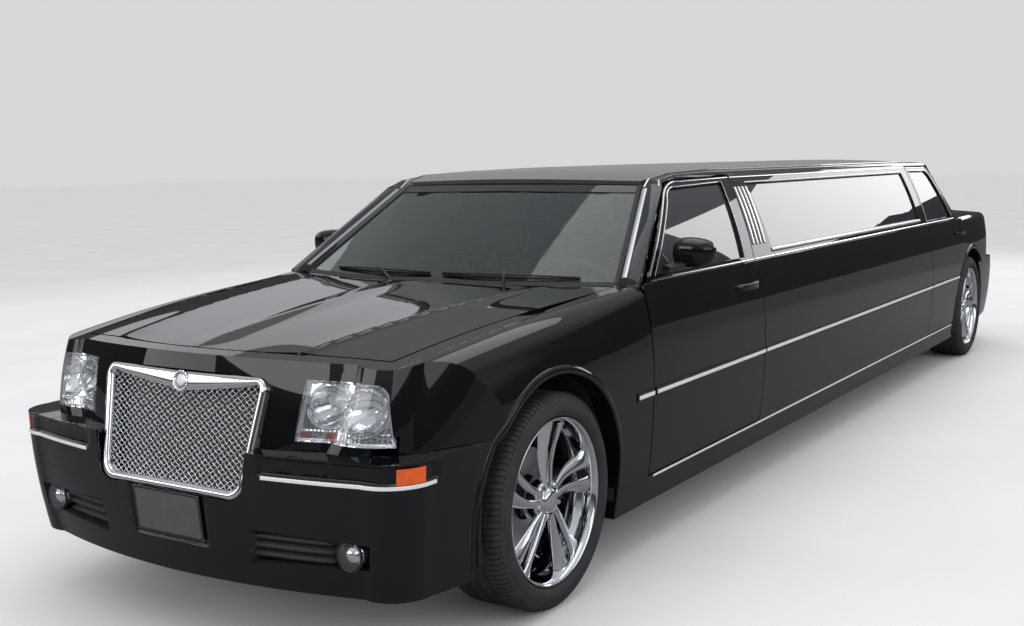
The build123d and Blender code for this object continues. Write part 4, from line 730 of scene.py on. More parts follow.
def panel_point(x, z, lift):
    return side_point(side_y, x, z, lift)


def trim(name, points, surface, width, height, finish, body, sign, lift=0.0):
    """A low strip along (x, z) points of the left side's surface, or mirrored to the right."""
    path, outs = zip(*[surface(x, z, lift) for x, z in points])
    strip(name, path, outs, width, height, finish, body, sign)


def run(points, step=0.05):
    """Points along straight legs no longer than step."""
    result = []
    for a, b in zip(points, points[1:]):
        count = max(1, math.ceil(math.dist(a, b) / step))
        result += [tuple(a[i] + (b[i] - a[i]) * k / count for i in range(len(a))) for k in range(count)]
    return result + [tuple(points[-1])]


def bent(start, steps, count=10):
    """Corners and (through, end) arcs as one row of points."""
    points, here = [], start
    for step in steps:
        if isinstance(step[0], tuple):
            points += [tuple(p) for p in arc_points(here, step[0], step[1], count)]
            here = step[1]
        else:
            points += run([here, step])[:-1]
            here = step
    return points + [here]


FRONT_FRAME_LINE = bent((2.352, 1.062), [(1.945, 1.3555), ((1.868, 1.3955), (1.739, 1.4125)),
                                         (1.184, 1.4195)])
FRONT_GLASS_LINE = bent((2.306, 1.0605), [(1.9295, 1.3365), ((1.8835, 1.3735), (1.7905, 1.3915)),
                                         (1.2795, 1.4025), (1.388, 1.0605)])
REAR_FRAME_LINE = bent((-1.902, 1.4195), [(-2.337, 1.4145), ((-2.420, 1.3940), (-2.446, 1.3470)),
                                          (-2.530, 1.062)])
REAR_GLASS_LINE = bent((-1.8175, 1.0605), [(-1.9205, 1.4025), (-2.3105, 1.3965), ((-2.3860, 1.3790),
                                          (-2.4110, 1.3310)), (-2.4975, 1.0605)])
LONG_TOP_LINE = run([(1.010, 1.3935), (-1.720, 1.3935)], 0.2)
LONG_LOW_LINE = run([(1.040, 1.0745), (-1.665, 1.0745)], 0.2)
FIXED_TOP_LINE = run([(1.160, 1.4195), (-1.880, 1.4195)], 0.2)

for side, sign in SIDES:
    front_door, rear_door = f"front_door_{side}", f"rear_door_{side}"
    trim(f"door_frame_line_{side}", FRONT_FRAME_LINE, house_point, 0.0065, 0.0025, CHROME, front_door, sign)
    trim(f"door_glass_line_{side}", FRONT_GLASS_LINE, house_point, 0.005, 0.002, CHROME, front_door, sign)
    trim(f"rear_frame_line_{side}", REAR_FRAME_LINE, house_point, 0.0065, 0.0025, CHROME, rear_door, sign)
    trim(f"rear_glass_line_{side}", REAR_GLASS_LINE, house_point, 0.005, 0.002, CHROME, rear_door, sign)
    trim(f"long_top_line_{side}", LONG_TOP_LINE, house_point, 0.009, 0.003, SATIN, "body", sign)
    trim(f"long_sill_strip_{side}", LONG_LOW_LINE, house_point, 0.022, 0.004, SATIN, "body", sign)
    trim(f"drip_line_{side}", FIXED_TOP_LINE, house_point, 0.0065, 0.0025, CHROME, "body", sign)
    for part, body, x0, x1 in (("front_door", front_door, 1.292, 2.352), ("fixed", "body", -1.770, 1.280),
                               ("rear_door", rear_door, -2.540, -1.784)):
        line = run([(x1, 1.0475), (x0, 1.0475)], 0.2)
        trim(f"belt_strip_{part}_{side}", line, house_point, 0.010, 0.004, CHROME, body, sign)
    for part, body, x0, x1 in (("fender", "body", 2.452, 2.580), ("front_door", front_door, 1.296, 2.426),
                               ("fixed", "body", -1.768, 1.279), ("rear_door", rear_door, -2.520, -1.787)):
        line = run([(x1, MOULDING_Z), (x0, MOULDING_Z)], 0.2)
        trim(f"moulding_base_{part}_{side}", line, panel_point, 0.034, 0.0065, BLACK_TRIM, body, sign)
        trim(f"moulding_strip_{part}_{side}", line, panel_point, 0.015, 0.0030, BRIGHT, body, sign,
             lift=0.0064)
    line = run([(2.400, 0.292), (-2.440, 0.292)], 0.3)
    trim(f"rocker_strip_{side}", line, panel_point, 0.009, 0.003, BRIGHT, "body", sign)
    for k in range(4):
        low_x, high_x = 1.236 - 0.045 * k, 1.164 - 0.045 * k
        line = run([(low_x, 1.112), (high_x, 1.372)], 0.05)
        trim(f"pillar_bar_{k + 1}_{side}", line, house_point, 0.024, 0.005, CHROME, "body", sign)

# Roof border and windscreen pillar strips. Rail rows are (x, outer top edge, inner top edge)
RAIL_ROWS = [
    (2.446, (0.880, 1.044), (0.797, 1.046)), (1.930, (0.716, 1.401), (0.635, 1.396)),
    (1.884, (0.691, 1.424), (0.633, 1.427)), (1.740, (0.684, 1.441), (0.646, 1.449)),
    (1.300, (0.681, 1.450), (0.655, 1.462)), (-1.900, (0.681, 1.450), (0.655, 1.462)),
    (-2.452, (0.684, 1.444), (0.642, 1.448)),
]


def rail_line(share, x0, x1, step=0.06):
    """Points and outward ways along the rail's top face, share of the way from inner to outer edge."""
    count = max(2, math.ceil((x0 - x1) / step))
    stops = sorted({x0, x1, *[x0 + (x1 - x0) * k / count for k in range(count)],
                    *[row[0] for row in RAIL_ROWS if x1 < row[0] < x0]}, reverse=True)
    path, outs = [], []
    for x in stops:
        k = next(i for i in range(len(RAIL_ROWS) - 1) if RAIL_ROWS[i + 1][0] <= x + 1e-9)
        a, b = RAIL_ROWS[k], RAIL_ROWS[k + 1]
        f = (a[0] - x) / (a[0] - b[0])
        outer = [a[1][i] + (b[1][i] - a[1][i]) * f for i in (0, 1)]
        inner = [a[2][i] + (b[2][i] - a[2][i]) * f for i in (0, 1)]
        along = Vector((b[0] - a[0], b[2][0] - a[2][0], b[2][1] - a[2][1]))
        across = Vector((0, outer[0] - inner[0], outer[1] - inner[1]))
        out = along.cross(across).normalized()
        out = out if out.z > 0 else -out
        path.append(Vector((x, *[inner[i] + (outer[i] - inner[i]) * share for i in (0, 1)])))
        outs.append(out)
    return path, outs


for side, sign in SIDES:
    strip(f"screen_pillar_strip_{side}", *rail_line(0.16, 2.425, 1.945), 0.020, 0.003, SATIN, "body", sign)
    strip(f"vinyl_border_{side}", *rail_line(0.10, 1.935, -2.440), 0.0075, 0.0025, CHROME, "body", sign)
    strip(f"rail_gutter_{side}", *rail_line(0.93, 1.935, -2.440), 0.005, 0.002, CHROME, "body", sign)

# Grille: a chrome frame with a winged top band, woven wires and a bare round boss

GRILLE_LOW = Vector((4.0115, 0, 0.500))
GRILLE_UP = Vector((-0.092, 0, 0.372)).normalized()
GRILLE_OUT = Vector((0.372, 0, 0.092)).normalized()
GRILLE_H = math.hypot(0.092, 0.372)
GRILLE_LOW_Y = 0.318
GRILLE_TOP_Y = 0.366
GRILLE_FLARE = 0.048
TOP_BAND = 0.024
WIRE_DEPTH = 0.0185
WEAVE = 0.0016
WIRE_PROFILE = [(0.0008, -0.0009), (0.0013, 0), (0.0008, 0.0009), (-0.0010, 0.0012), (-0.0010, -0.0012)]


def grille_place(w, h, d):
    """A place on the leaning grille from (left of its middle, up its face, out of its face)."""
    return GRILLE_LOW + Vector((0, w, 0)) + GRILLE_UP * h + GRILLE_OUT * d


def rounded_loop(corners, radii, straight=12, turn=8):
    """A closed row of points round a polygon with rounded corners."""
    points = []
    count = len(corners)
    for i, (corner, radius) in enumerate(zip(corners, radii)):
        here = Vector(corner)
        before = (Vector(corners[i - 1]) - here).normalized()
        after = (Vector(corners[(i + 1) % count]) - here).normalized()
        half = before.angle(after) / 2
        reach = radius / math.tan(half)
        centre = here + (before + after).normalized() * (radius / math.sin(half))
        start, end = here + before * reach - centre, here + after * reach - centre
        sweep_angle = start.angle_signed(end)
        for k in range(turn + 1):
            t = -sweep_angle * k / turn
            points.append(centre + Vector((start.x * math.cos(t) - start.y * math.sin(t),
                                           start.x * math.sin(t) + start.y * math.cos(t))))
        nxt = Vector(corners[(i + 1) % count])
        nb = (here - nxt).normalized()
        na = (Vector(corners[(i + 2) % count]) - nxt).normalized()
        next_reach = radii[(i + 1) % count] / math.tan(nb.angle(na) / 2)
        a, b = here + after * reach, nxt + nb * next_reach
        points += [a + (b - a) * k / straight for k in range(1, straight)]
    return points


def grille_corners(side_margin, low_margin, top_margin):
    """Corners of the grille's outline, moved in, from the lower left round over the top."""
    low_y = GRILLE_LOW_Y + GRILLE_FLARE * low_margin / GRILLE_H - side_margin
    top_y = GRILLE_TOP_Y - GRILLE_FLARE * top_margin / GRILLE_H - side_margin
    return [(low_y, low_margin), (top_y, GRILLE_H - top_margin), (-top_y, GRILLE_H - top_margin),
            (-low_y, low_margin)]


BAND_DIP = 0.044
BADGE_H = GRILLE_H - 0.036


def make_grille_frame():
    """The chrome frame, whose top band is fluted and dips in the middle like a pair of wings."""
    outer = rounded_loop(grille_corners(0, 0, 0), (0.066, 0.040, 0.040, 0.066), 24, 10)
    inner = rounded_loop(grille_corners(0.030, 0.030, TOP_BAND), (0.042, 0.014, 0.014, 0.042), 24, 10)
    section = [(0, -0.060), (0, -0.006), (0.03, -0.002), (0.10, 0.0005), (0.25, 0.0022), (0.50, 0.0028),
               (0.72, 0.0018), (0.88, -0.0015), (0.97, -0.006), (1.0, -0.012), (1.0, -0.045)]
    verts = []
    top_inner = GRILLE_H - TOP_BAND
    for a, b in zip(outer, inner):
        on_top = max(0.0, min(1.0, (b.y - top_inner + 0.004) / 0.004)) if abs(b.x) < 0.315 else 0.0
        reach = max(0.0, 1 - abs(b.x) / 0.325)
        low = b - Vector((0, BAND_DIP * on_top * reach ** 0.8))
        for share, depth in section:
            place = a.lerp(low, share)
            flute = 0.0022 * math.cos(share * 5 * math.pi) * on_top * reach if 0.05 < share < 0.95 else 0
            raised = 0.004 * on_top * reach * (depth > -0.01)
            verts.append(grille_place(place.x, place.y, depth + flute + raised))
    return verts, grid_faces(len(outer), len(section), True)


def inside_span(start, way, outline):
    """Where a line from start along way enters and leaves a convex outline, as two distances."""
    hits = []
    for i, a in enumerate(outline):
        b = outline[(i + 1) % len(outline)]
        edge = b - a
        cross = way.x * edge.y - way.y * edge.x
        if abs(cross) < 1e-12:
            continue
        gap = a - start
        t = (gap.x * edge.y - gap.y * edge.x) / cross
        u = (gap.x * way.y - gap.y * way.x) / cross
        if 0 <= u <= 1:
            hits.append(t)
    return (min(hits), max(hits)) if len(hits) > 1 else None


def make_grille_wires():
    """Two families of slanting wires that pass over and under each other."""
    pitch_w, pitch_h = 0.0262, 0.0204
    outline = rounded_loop(grille_corners(0.018, 0.018, 0.016), (0.05, 0.02, 0.02, 0.05), 4, 6)
    cross_step = math.hypot(pitch_w, pitch_h) / 2
    parts = []
    for family, lean in ((0, 1), (1, -1)):
        way = Vector((pitch_w * lean, pitch_h)).normalized()
        for number in range(-26, 27):
            start = Vector((number * pitch_w, GRILLE_H / 2))
            span = inside_span(start, way, outline)
            if not span or span[1] - span[0] < 0.02:
                continue
            count = max(2, math.ceil((span[1] - span[0]) / (cross_step / 3)))
            path, outs = [], []
            for k in range(count + 1):
                t = span[0] + (span[1] - span[0]) * k / count
                place = start + way * t
                weave = WEAVE * math.cos(math.pi * t / cross_step + math.pi * (family + number))
                path.append(grille_place(place.x, place.y, -WIRE_DEPTH + weave))
                outs.append(GRILLE_OUT)
            parts.append(sweep(path, outs, WIRE_PROFILE))
    return join(parts)


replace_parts(add_piece("grille_frame", *make_grille_frame(), CHROME, "body", 50, "chrome"), "grille")
add_piece("grille_wires", *make_grille_wires(), CHROME, "body", 60, "chrome")


def grille_disc(rings, lobes=0):
    """A round boss on the grille from (radius, lift) rings, with lobes round its edge."""
    verts, n = [], 96
    for radius, lift in rings:
        for k in range(n):
            t = 2 * math.pi * k / n
            r = radius * (1 + (0.035 * math.cos(lobes * t) if lobes and radius > 0.03 else 0))
            verts.append(grille_place(r * math.cos(t), BADGE_H + r * math.sin(t), lift))
    faces = grid_faces(len(rings), n, False, True)
    verts.append(grille_place(0, BADGE_H, rings[-1][1]))
    last = (len(rings) - 1) * n
    faces += [(last + k, last + (k + 1) % n, len(verts) - 1) for k in range(n)]
    return verts, faces


BOSS_RINGS = [(0.0355, -0.02), (0.0355, 0.004), (0.0345, 0.0075), (0.0320, 0.0090), (0.0290, 0.0085),
              (0.0275, 0.0060), (0.0270, 0.0050)]
FACE_RINGS = [(0.0272, 0.0048), (0.0260, 0.0062), (0.018, 0.0072), (0.009, 0.0076)]
add_piece("grille_boss", *grille_disc(BOSS_RINGS, 14), CHROME, "body", 50, "chrome")
add_piece("grille_boss_face", *grille_disc(FACE_RINGS), SATIN, "body", 50, "chrome")
back_outline = rounded_loop(grille_corners(0.006, 0.006, 0.006), (0.05, 0.05, 0.05, 0.05), 3, 6)
add_piece("grille_backing", [grille_place(p.x, p.y, -0.056) for p in back_outline],
          [tuple(range(len(back_outline)))], BLACK_TRIM, "body", 0, "dark_plastic")

# Front bumper: recessed band with its chrome strip, side markers and the blank plate


def plan_curve(levels, axle_x, sign, z):
    """Points (x, y) of a bumper's plan outline at height z, from the left flank to the middle."""
    curves = [plan_outline(level, BUMPER_BACK, BUMPER_SIDE, axle_x, sign) for level in levels]
    flat = through_all([level[0] for level in levels], curves, [z])[0]
    return flat[:(len(flat) + 1) // 2]


def bumper_line(levels, axle_x, sign, z, y0, y1, lift=0.0, step=0.012):
    """Points and outward ways at height z on a bumper's end or corner, for half widths from y0 to y1."""
    raw = plan_curve(levels, axle_x, sign, z)
    dense = run([tuple(p) for p in raw], step)
    low = plan_curve(levels, axle_x, sign, z - 0.004)
    high = plan_curve(levels, axle_x, sign, z + 0.004)
    lean = float(np.mean(np.linalg.norm(high, axis=1) - np.linalg.norm(low, axis=1))) / 0.008
    path, outs = [], []
    for i, (x, y) in enumerate(dense):
        ahead, behind = dense[min(i + 1, len(dense) - 1)], dense[max(i - 1, 0)]
        along = Vector((ahead[0] - behind[0], ahead[1] - behind[1], 0)).normalized()
        out = Vector((-along.y, along.x, 0)) * (1 if sign < 0 else -1)
        out = out if out.dot(Vector((sign * 0.3, 1, 0))) > 0 or abs(y) < 0.4 else -out
        if out.x * sign < -0.2:
            out = -out
        out = Vector((out.x, out.y, -lean * 0.5)).normalized()
        if y0 <= y <= y1 and (x - axle_x) * sign > 0.45:
            path.append(Vector((x, y, z)) + out * lift)
            outs.append(out)
    return path, outs


def marker_row(z, count=16):
    """Points and outward ways of a side marker at height z, between two upright ends."""
    middle = bumper_line(BUMPER_LEVELS, FRONT_X, 1, 0.618, 0.834, 0.879, step=0.004)[0]
    path, outs = bumper_line(BUMPER_LEVELS, FRONT_X, 1, z, 0.600, 0.939, lift=-0.0035)
    order = np.argsort([p.x for p in path])
    xs = np.array([path[i].x for i in order])
    stops = np.linspace(max(p.x for p in middle), min(p.x for p in middle), count)

    def blend(values):
        table = np.array([values[i] for i in order])
        return [Vector([float(np.interp(x, xs, table[:, k])) for k in range(3)]) for x in stops]

    return blend(path), [out.normalized() for out in blend(outs)]


def patch(lines, thickness):
    """A raised patch over several rows of (path, outs) of equal length."""
    n = min(len(path) for path, _ in lines)
    verts = []
    for path, outs in lines:
        verts += [p + o * thickness for p, o in zip(path[:n], outs[:n])]
    for path, outs in lines:
        verts += [p - o * 0.002 for p, o in zip(path[:n], outs[:n])]
    rows = len(lines)
    faces = grid_faces(rows, n)
    base = rows * n
    for row in range(rows - 1):
        for column in (0, n - 1):
            a, b = row * n + column, (row + 1) * n + column
            faces.append((a, b, b + base, a + base))
    for row in (0, rows - 1):
        for column in range(n - 1):
            a, b = row * n + column, row * n + column + 1
            faces.append((a, b, b + base, a + base))
    return verts, faces


front_line = bumper_line(BUMPER_LEVELS, FRONT_X, 1, 0.586, 0.392, 0.880)
rear_line = bumper_line(REAR_BUMPER_LEVELS, REAR_X, -1, 0.600, 0.380, 0.885)
marker = patch([marker_row(z) for z in np.linspace(0.594, 0.642, 5)], 0.004)
for side, sign in SIDES:
    strip(f"bumper_strip_{side}", *front_line, 0.0115, 0.0035, BRIGHT, "body", sign, crown=0.3)
    add_piece(f"side_marker_{side}", *flip_side(*marker, sign), AMBER, "body", 30, "red_lens")
    strip(f"rear_bumper_strip_{side}", *rear_line, 0.0115, 0.0035, BRIGHT, "body", sign, crown=0.3)

PLATE_HALF_X = 0.0012
PLATE_HALF_Y = 0.150
PLATE_HALF_Z = 0.0755


def set_down(shape, origin, lean):
    """A shape turned about Y by lean and moved to origin."""
    turn = Matrix.Rotation(lean, 4, "Y")
    return [tuple(turn @ Vector(v) + Vector(origin)) for v in shape[0]], shape[1]


PLATES = (("front", 1, (4.0154, 0, 0.425), 0.105), ("rear", -1, (-4.0166, 0, 0.535), -0.010))
PLATE_RIM_IN = 0.004
for name, way, origin, lean in PLATES:
    high = (PLATE_HALF_X, PLATE_HALF_Y, PLATE_HALF_Z)
    plate = rounded_box([-h for h in high], high, 0.0005, 1)
    add_piece(f"plate_{name}", *set_down(plate, origin, lean), PLATE, "body", 30, "dark_plastic")
    corners = [(s * (PLATE_HALF_Y - PLATE_RIM_IN), t * (PLATE_HALF_Z - PLATE_RIM_IN))
               for s, t in ((-1, -1), (1, -1), (1, 1), (-1, 1))]
    loop = rounded_loop(corners, (0.012,) * 4, 6, 5)
    rim = sweep([Vector((way * PLATE_HALF_X, p.x, p.y)) for p in loop], [Vector((way, 0, 0))] * len(loop),
                [(-0.001, -0.0035), (0.0012, -0.003), (0.0018, 0), (0.0012, 0.003), (-0.001, 0.0035)], True)
    add_piece(f"plate_rim_{name}", *set_down(rim, origin, lean), BLACK_TRIM, "body", 40, "dark_plastic")


# Headlamps, fog lamps and tail lamps

def surface_x(skin, y, z, way=1):
    """The x at which a line along the car meets a skin from outside."""
    start = Vector((5 * way, y, z))
    place, _, _, _ = SKINS[skin].tree.ray_cast(start, Vector((-way, 0, 0)))
    return place.x if place else None


WEB_DEPTH = 0.018
RIBBED_BELOW_Z = 0.716
BOWLS = [(0.545, 0.790, 0.062, 0.060), (0.668, 0.775, 0.070, 0.064)]
LAMP_CORNERS = [(0.460, 0.692), (0.757, 0.687), (0.738, 0.816), (0.724, 0.846), (0.690, 0.858),
                (0.478, 0.864)]


def lamp_inside(y, z, margin=0.0):
    """Whether a place lies within the left headlamp's outline, at least margin from its edge."""
    for i, a in enumerate(LAMP_CORNERS):
        b = LAMP_CORNERS[(i + 1) % len(LAMP_CORNERS)]
        length = math.dist(a, b)
        if ((b[0] - a[0]) * (z - a[1]) - (b[1] - a[1]) * (y - a[0])) / length < margin:
            return False
    return True


def lamp_x(y, z):
    """The x of the headlamp's outer face."""
    return surface_x("nose", y, z) or FRONT_X + 0.70


def make_lamp_reflector():
    """The chromed inside of a left headlamp: two bowls, a stepped web and a ribbed lower strip."""
    ys, zs = np.arange(0.459, 0.7601, 0.0025), np.arange(0.686, 0.8661, 0.0025)
    index, verts = {}, []
    for i, y in enumerate(ys):
        for j, z in enumerate(zs):
            if not lamp_inside(y, z, -0.0005):
                continue
            depth = WEB_DEPTH
            for cy, cz, radius, deep in BOWLS:
                r = math.hypot(y - cy, z - cz) / radius
                if r < 1:
                    depth = max(depth, WEB_DEPTH + deep * (1 - r * r) ** 0.75)
                elif r < 1.12:
                    depth = min(depth, WEB_DEPTH - 0.006 * math.sin((r - 1) / 0.12 * math.pi))
            if z < RIBBED_BELOW_Z:
                depth = 0.016 + 0.0015 * math.cos(y * 2 * math.pi / 0.012)
            index[i, j] = len(verts)
            verts.append((lamp_x(y, z) - depth, y, z))
    faces = []
    for (i, j), a in index.items():
        ring = [index.get((i + 1, j)), index.get((i + 1, j + 1)), index.get((i, j + 1))]
        if None not in ring:
            faces.append((a, *ring))
    return verts, faces


def ring_x(cy, cz, radius, section, lift, lamp_surface, count=40):
    """A ring facing forward on a lamp, following its leaning surface."""
    path, outs = [], []
    for k in range(count):
        t = 2 * math.pi * k / count
        y, z = cy + radius * math.cos(t), cz + radius * math.sin(t)
        path.append(Vector((lamp_surface(y, z) + lift, y, z)))
        outs.append(Vector((1, 0, 0)))
    return sweep(path, outs, round_profile(section, 6), True)


def capsule_x(start, length, radius, count=14):
    """A bulb along +x with a round tip."""
    rings = [(0, radius)] + [(length - radius + radius * math.sin(a), radius * math.cos(a))
                             for a in np.linspace(0, math.pi / 2 - 0.15, 5)]
    verts = []
    for along, r in rings:
        for k in range(count):
            t = 2 * math.pi * k / count
            verts.append((start[0] + along, start[1] + r * math.cos(t), start[2] + r * math.sin(t)))
    cap = tuple(range((len(rings) - 1) * count, len(rings) * count))
    return verts, grid_faces(len(rings), count, False, True) + [cap]


BULB = material("bulb_glass", (0.95, 0.95, 0.92), 0.05, transmission=0.6, ior=1.45, mottle=0.02,
                emission=0.05)
FOG = (3.9255, 0.668, 0.366)
FOG_R = 0.041
FOG_BEZEL_X = 3.9235


def make_turn_lamps():
    """The two amber fields in the lower edge of a headlamp."""
    parts = []
    for y0, y1 in ((0.464, 0.492), (0.545, 0.575)):
        ys, zs = np.linspace(y0, y1, 6), np.linspace(0.694, 0.711, 4)
        parts.append(([(lamp_x(y, z) - 0.0125, y, z) for y in ys for z in zs], grid_faces(6, 4)))
    return join(parts)


def make_fog_lens(rings=8, count=36):
    """A shallow dome that faces forward."""
    verts = []
    for r in np.linspace(FOG_R, 0.002, rings):
        for k in range(count):
            t = 2 * math.pi * k / count
            verts.append((FOG[0] + 0.001 + 0.006 * (1 - (r / FOG_R) ** 2), FOG[1] + r * math.cos(t),
                          FOG[2] + r * math.sin(t)))
    return verts, grid_faces(rings, count, False, True)


lamp_rings = join([ring_x(cy, cz, radius, 0.0028, -0.014, lamp_x) for cy, cz, radius, _ in BOWLS])
lamp_bulbs = join([capsule_x((lamp_x(cy, cz) - 0.074, cy, cz), 0.040, 0.009) for cy, cz, _, _ in BOWLS])
fog_bezel = ring_x(FOG[1], FOG[2], 0.0465, 0.0050, 0, lambda y, z: FOG_BEZEL_X)
LAMP_PIECES = (
    ("lamp_reflector", make_lamp_reflector(), REFLECTOR, 35, "lamp_bowl"),
    ("lamp_rings", lamp_rings, CHROME, 50, "chrome"),
    ("lamp_bulbs", lamp_bulbs, BULB, 50, "clear_glass"),
    ("lamp_amber", make_turn_lamps(), AMBER, 50, "red_lens"),
    ("fog_bezel", fog_bezel, BLACK_TRIM, 50, "dark_plastic"),
    ("fog_lens", make_fog_lens(), LENS, 60, "clear_glass"),
)
for side, sign in SIDES:
    for name, shape, finish, smooth, slot in LAMP_PIECES:
        add_piece(f"{name}_{side}", *flip_side(*shape, sign), finish, "body", smooth, slot)

# Mirrors


def squircle(low, high, power=3.2, rows=18, columns=36):
    """A rounded box between two corners."""
    middle = [(a + b) / 2 for a, b in zip(low, high)]
    half = [(b - a) / 2 for a, b in zip(low, high)]

    def soft(value):
        return math.copysign(abs(value) ** (2 / power), value)

    verts = []
    for i in range(rows + 1):
        v = -math.pi / 2 + math.pi * i / rows
        for j in range(columns):
            u = 2 * math.pi * j / columns
            verts.append((middle[0] + half[0] * soft(math.cos(v)) * soft(math.cos(u)),
                          middle[1] + half[1] * soft(math.cos(v)) * soft(math.sin(u)),
                          middle[2] + half[2] * soft(math.sin(v))))
    return verts, grid_faces(rows + 1, columns, False, True)


MIRROR_INNER_Y = 0.866
MIRROR_REACH = 0.169
MIRROR_MIDDLE_Z = 1.1415
MIRROR_BACK_X = 2.0535
SAIL_OUTLINE = [(2.290, 1.066), (2.168, 1.066), (2.170, 1.120), (2.196, 1.1395)]
STALK_HALF = (0.012, 0.034)


def make_mirror_shell():
    """A mirror housing: bulging ahead, cut flat behind, lower at its outer end."""
    verts, faces = squircle((2.040, 0.866, 1.080), (2.165, 1.035, 1.203), 2.9, 28, 48)
    shaped = []
    for x, y, z in verts:
        outer = (y - MIRROR_INNER_Y) / MIRROR_REACH
        z = MIRROR_MIDDLE_Z + (z - MIRROR_MIDDLE_Z) * (1 - 0.16 * outer ** 2) - 0.004 * outer
        x = max(x, MIRROR_BACK_X + 0.010 * outer)
        x = x - 0.018 * outer ** 2 * (x - MIRROR_BACK_X) / 0.11
        shaped.append((x, y, z))
    return shaped, faces


def make_mirror_pane():
    verts, faces = squircle((0, 0.878, 1.092), (0.002, 1.022, 1.190), 3.4, 16, 40)
    return [(2.0523 + 0.010 * (y - MIRROR_INNER_Y) / MIRROR_REACH, y, z) for _, y, z in verts], faces


def make_mirror_stalk():
    path = [Vector((2.215, 0.872, 1.083)), Vector((2.170, 0.888, 1.088)), Vector((2.125, 0.915, 1.100))]
    oval = [(STALK_HALF[0] * math.cos(t), STALK_HALF[1] * math.sin(t))
            for t in np.linspace(0, 2 * math.pi, 16, endpoint=False)]
    return sweep(path, [Vector((0, 0, 1))] * 3, oval)


def make_mirror_sail():
    """The flat plate in the corner of the door glass that carries the mirror."""
    verts = [house_point(x, z, lift)[0] for lift in (-0.001, -0.012) for x, z in SAIL_OUTLINE]
    n = len(SAIL_OUTLINE)
    edges = [(i, (i + 1) % n, (i + 1) % n + n, i + n) for i in range(n)]
    return verts, [tuple(range(n)), tuple(reversed(range(n, 2 * n)))] + edges


MIRROR_PIECES = (
    ("mirror_shell", make_mirror_shell(), PAINT, 45, "black_paint"),
    ("mirror_pane", make_mirror_pane(), MIRROR, 60, "chrome"),
    ("mirror_stalk", make_mirror_stalk(), BLACK_TRIM, 50, "dark_plastic"),
    ("mirror_sail", make_mirror_sail(), BLACK_TRIM, 30, "dark_plastic"),
)
for side, sign in SIDES:
    body = f"front_door_{side}"
    for name, shape, finish, smooth, slot in MIRROR_PIECES:
        piece = add_piece(f"{name}_{side}", *flip_side(*shape, sign), finish, body, smooth, slot)
        if name == "mirror_shell":
            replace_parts(piece, f"mirror_{side}")

# Wipers and the inside mirror


SCREEN_FOOT_Z = 1.024
SCREEN_RISE = 0.394
SCREEN_TAPER = 0.184


def screen_point(y, z, lift=0.0):
    """A place on the windscreen's outer face, with its outward way."""
    def raw(a, b):
        s = (b - SCREEN_FOOT_Z) / SCREEN_RISE
        corner_x, corner_y = 2.454 - 0.578 * s, 0.797 - SCREEN_TAPER * s
        middle_x = 2.648 - 0.698 * s
        return Vector((middle_x - (middle_x - corner_x) * (a / corner_y) ** 2, a, b))

    here = raw(y, z)
    out = (raw(y + 0.01, z) - here).cross(raw(y, z + 0.01) - here).normalized()
    out = out if out.x > 0 else -out
    return here + out * lift, out


def tube(points, radius, count=8):
    """A round bar along points."""
    path = [Vector(p) for p in points]
    return sweep(path, [Vector((0.3, 0, 1))] * len(path), round_profile(radius, count))


WIPER_STEPS = 20
WIPERS = (("left", 0.36, 0.640, 0.060, 1.052, 1.060), ("right", -0.16, 0.000, -0.560, 1.060, 1.058))
for name, pivot_y, blade_y0, blade_y1, z0, z1 in WIPERS:
    ways = [(blade_y0 + (blade_y1 - blade_y0) * k / WIPER_STEPS, z0 + (z1 - z0) * k / WIPER_STEPS)
            for k in range(WIPER_STEPS + 1)]
    rubber = [screen_point(y, z, 0.0035)[0] for y, z in ways]
    frame_line = [screen_point(y, z, 0.010 + 0.006 * math.sin(math.pi * k / WIPER_STEPS))[0]
                  for k, (y, z) in enumerate(ways)]
    middle = frame_line[WIPER_STEPS // 2] + Vector((0.004, 0, 0.006))
    pivot = Vector((2.632 - 0.24 * pivot_y ** 2, pivot_y, 1.016))
    arm = [pivot, pivot.lerp(middle, 0.3) + Vector((0.004, 0, 0.012)), pivot.lerp(middle, 0.7)
           + Vector((0.003, 0, 0.012)), middle]
    parts = join([tube(rubber, 0.0035, 6), tube(frame_line, 0.0040, 6), tube(arm, 0.0060, 8)])
    add_piece(f"wiper_{name}", *parts, BLACK_TRIM, "body", 50, "dark_plastic")
    cap, cap_faces = capsule_x((0, 0, 0), 0.024, 0.013)
    cap = [(pivot.x - z, y + pivot.y, pivot.z - 0.008 + x) for x, y, z in cap]
    add_piece(f"wiper_cap_{name}", cap, cap_faces, BLACK_TRIM, "body", 50, "dark_plastic")

inside_mirror = squircle((1.900, -0.115, 1.335), (1.930, 0.115, 1.395), 3.5, 14, 36)
add_piece("inside_mirror", *inside_mirror, BLACK_TRIM, "body", 50, "dark_plastic")

# Wheels and tyres. Profiles are (radius, distance outward) rows, turned about the wheel's line

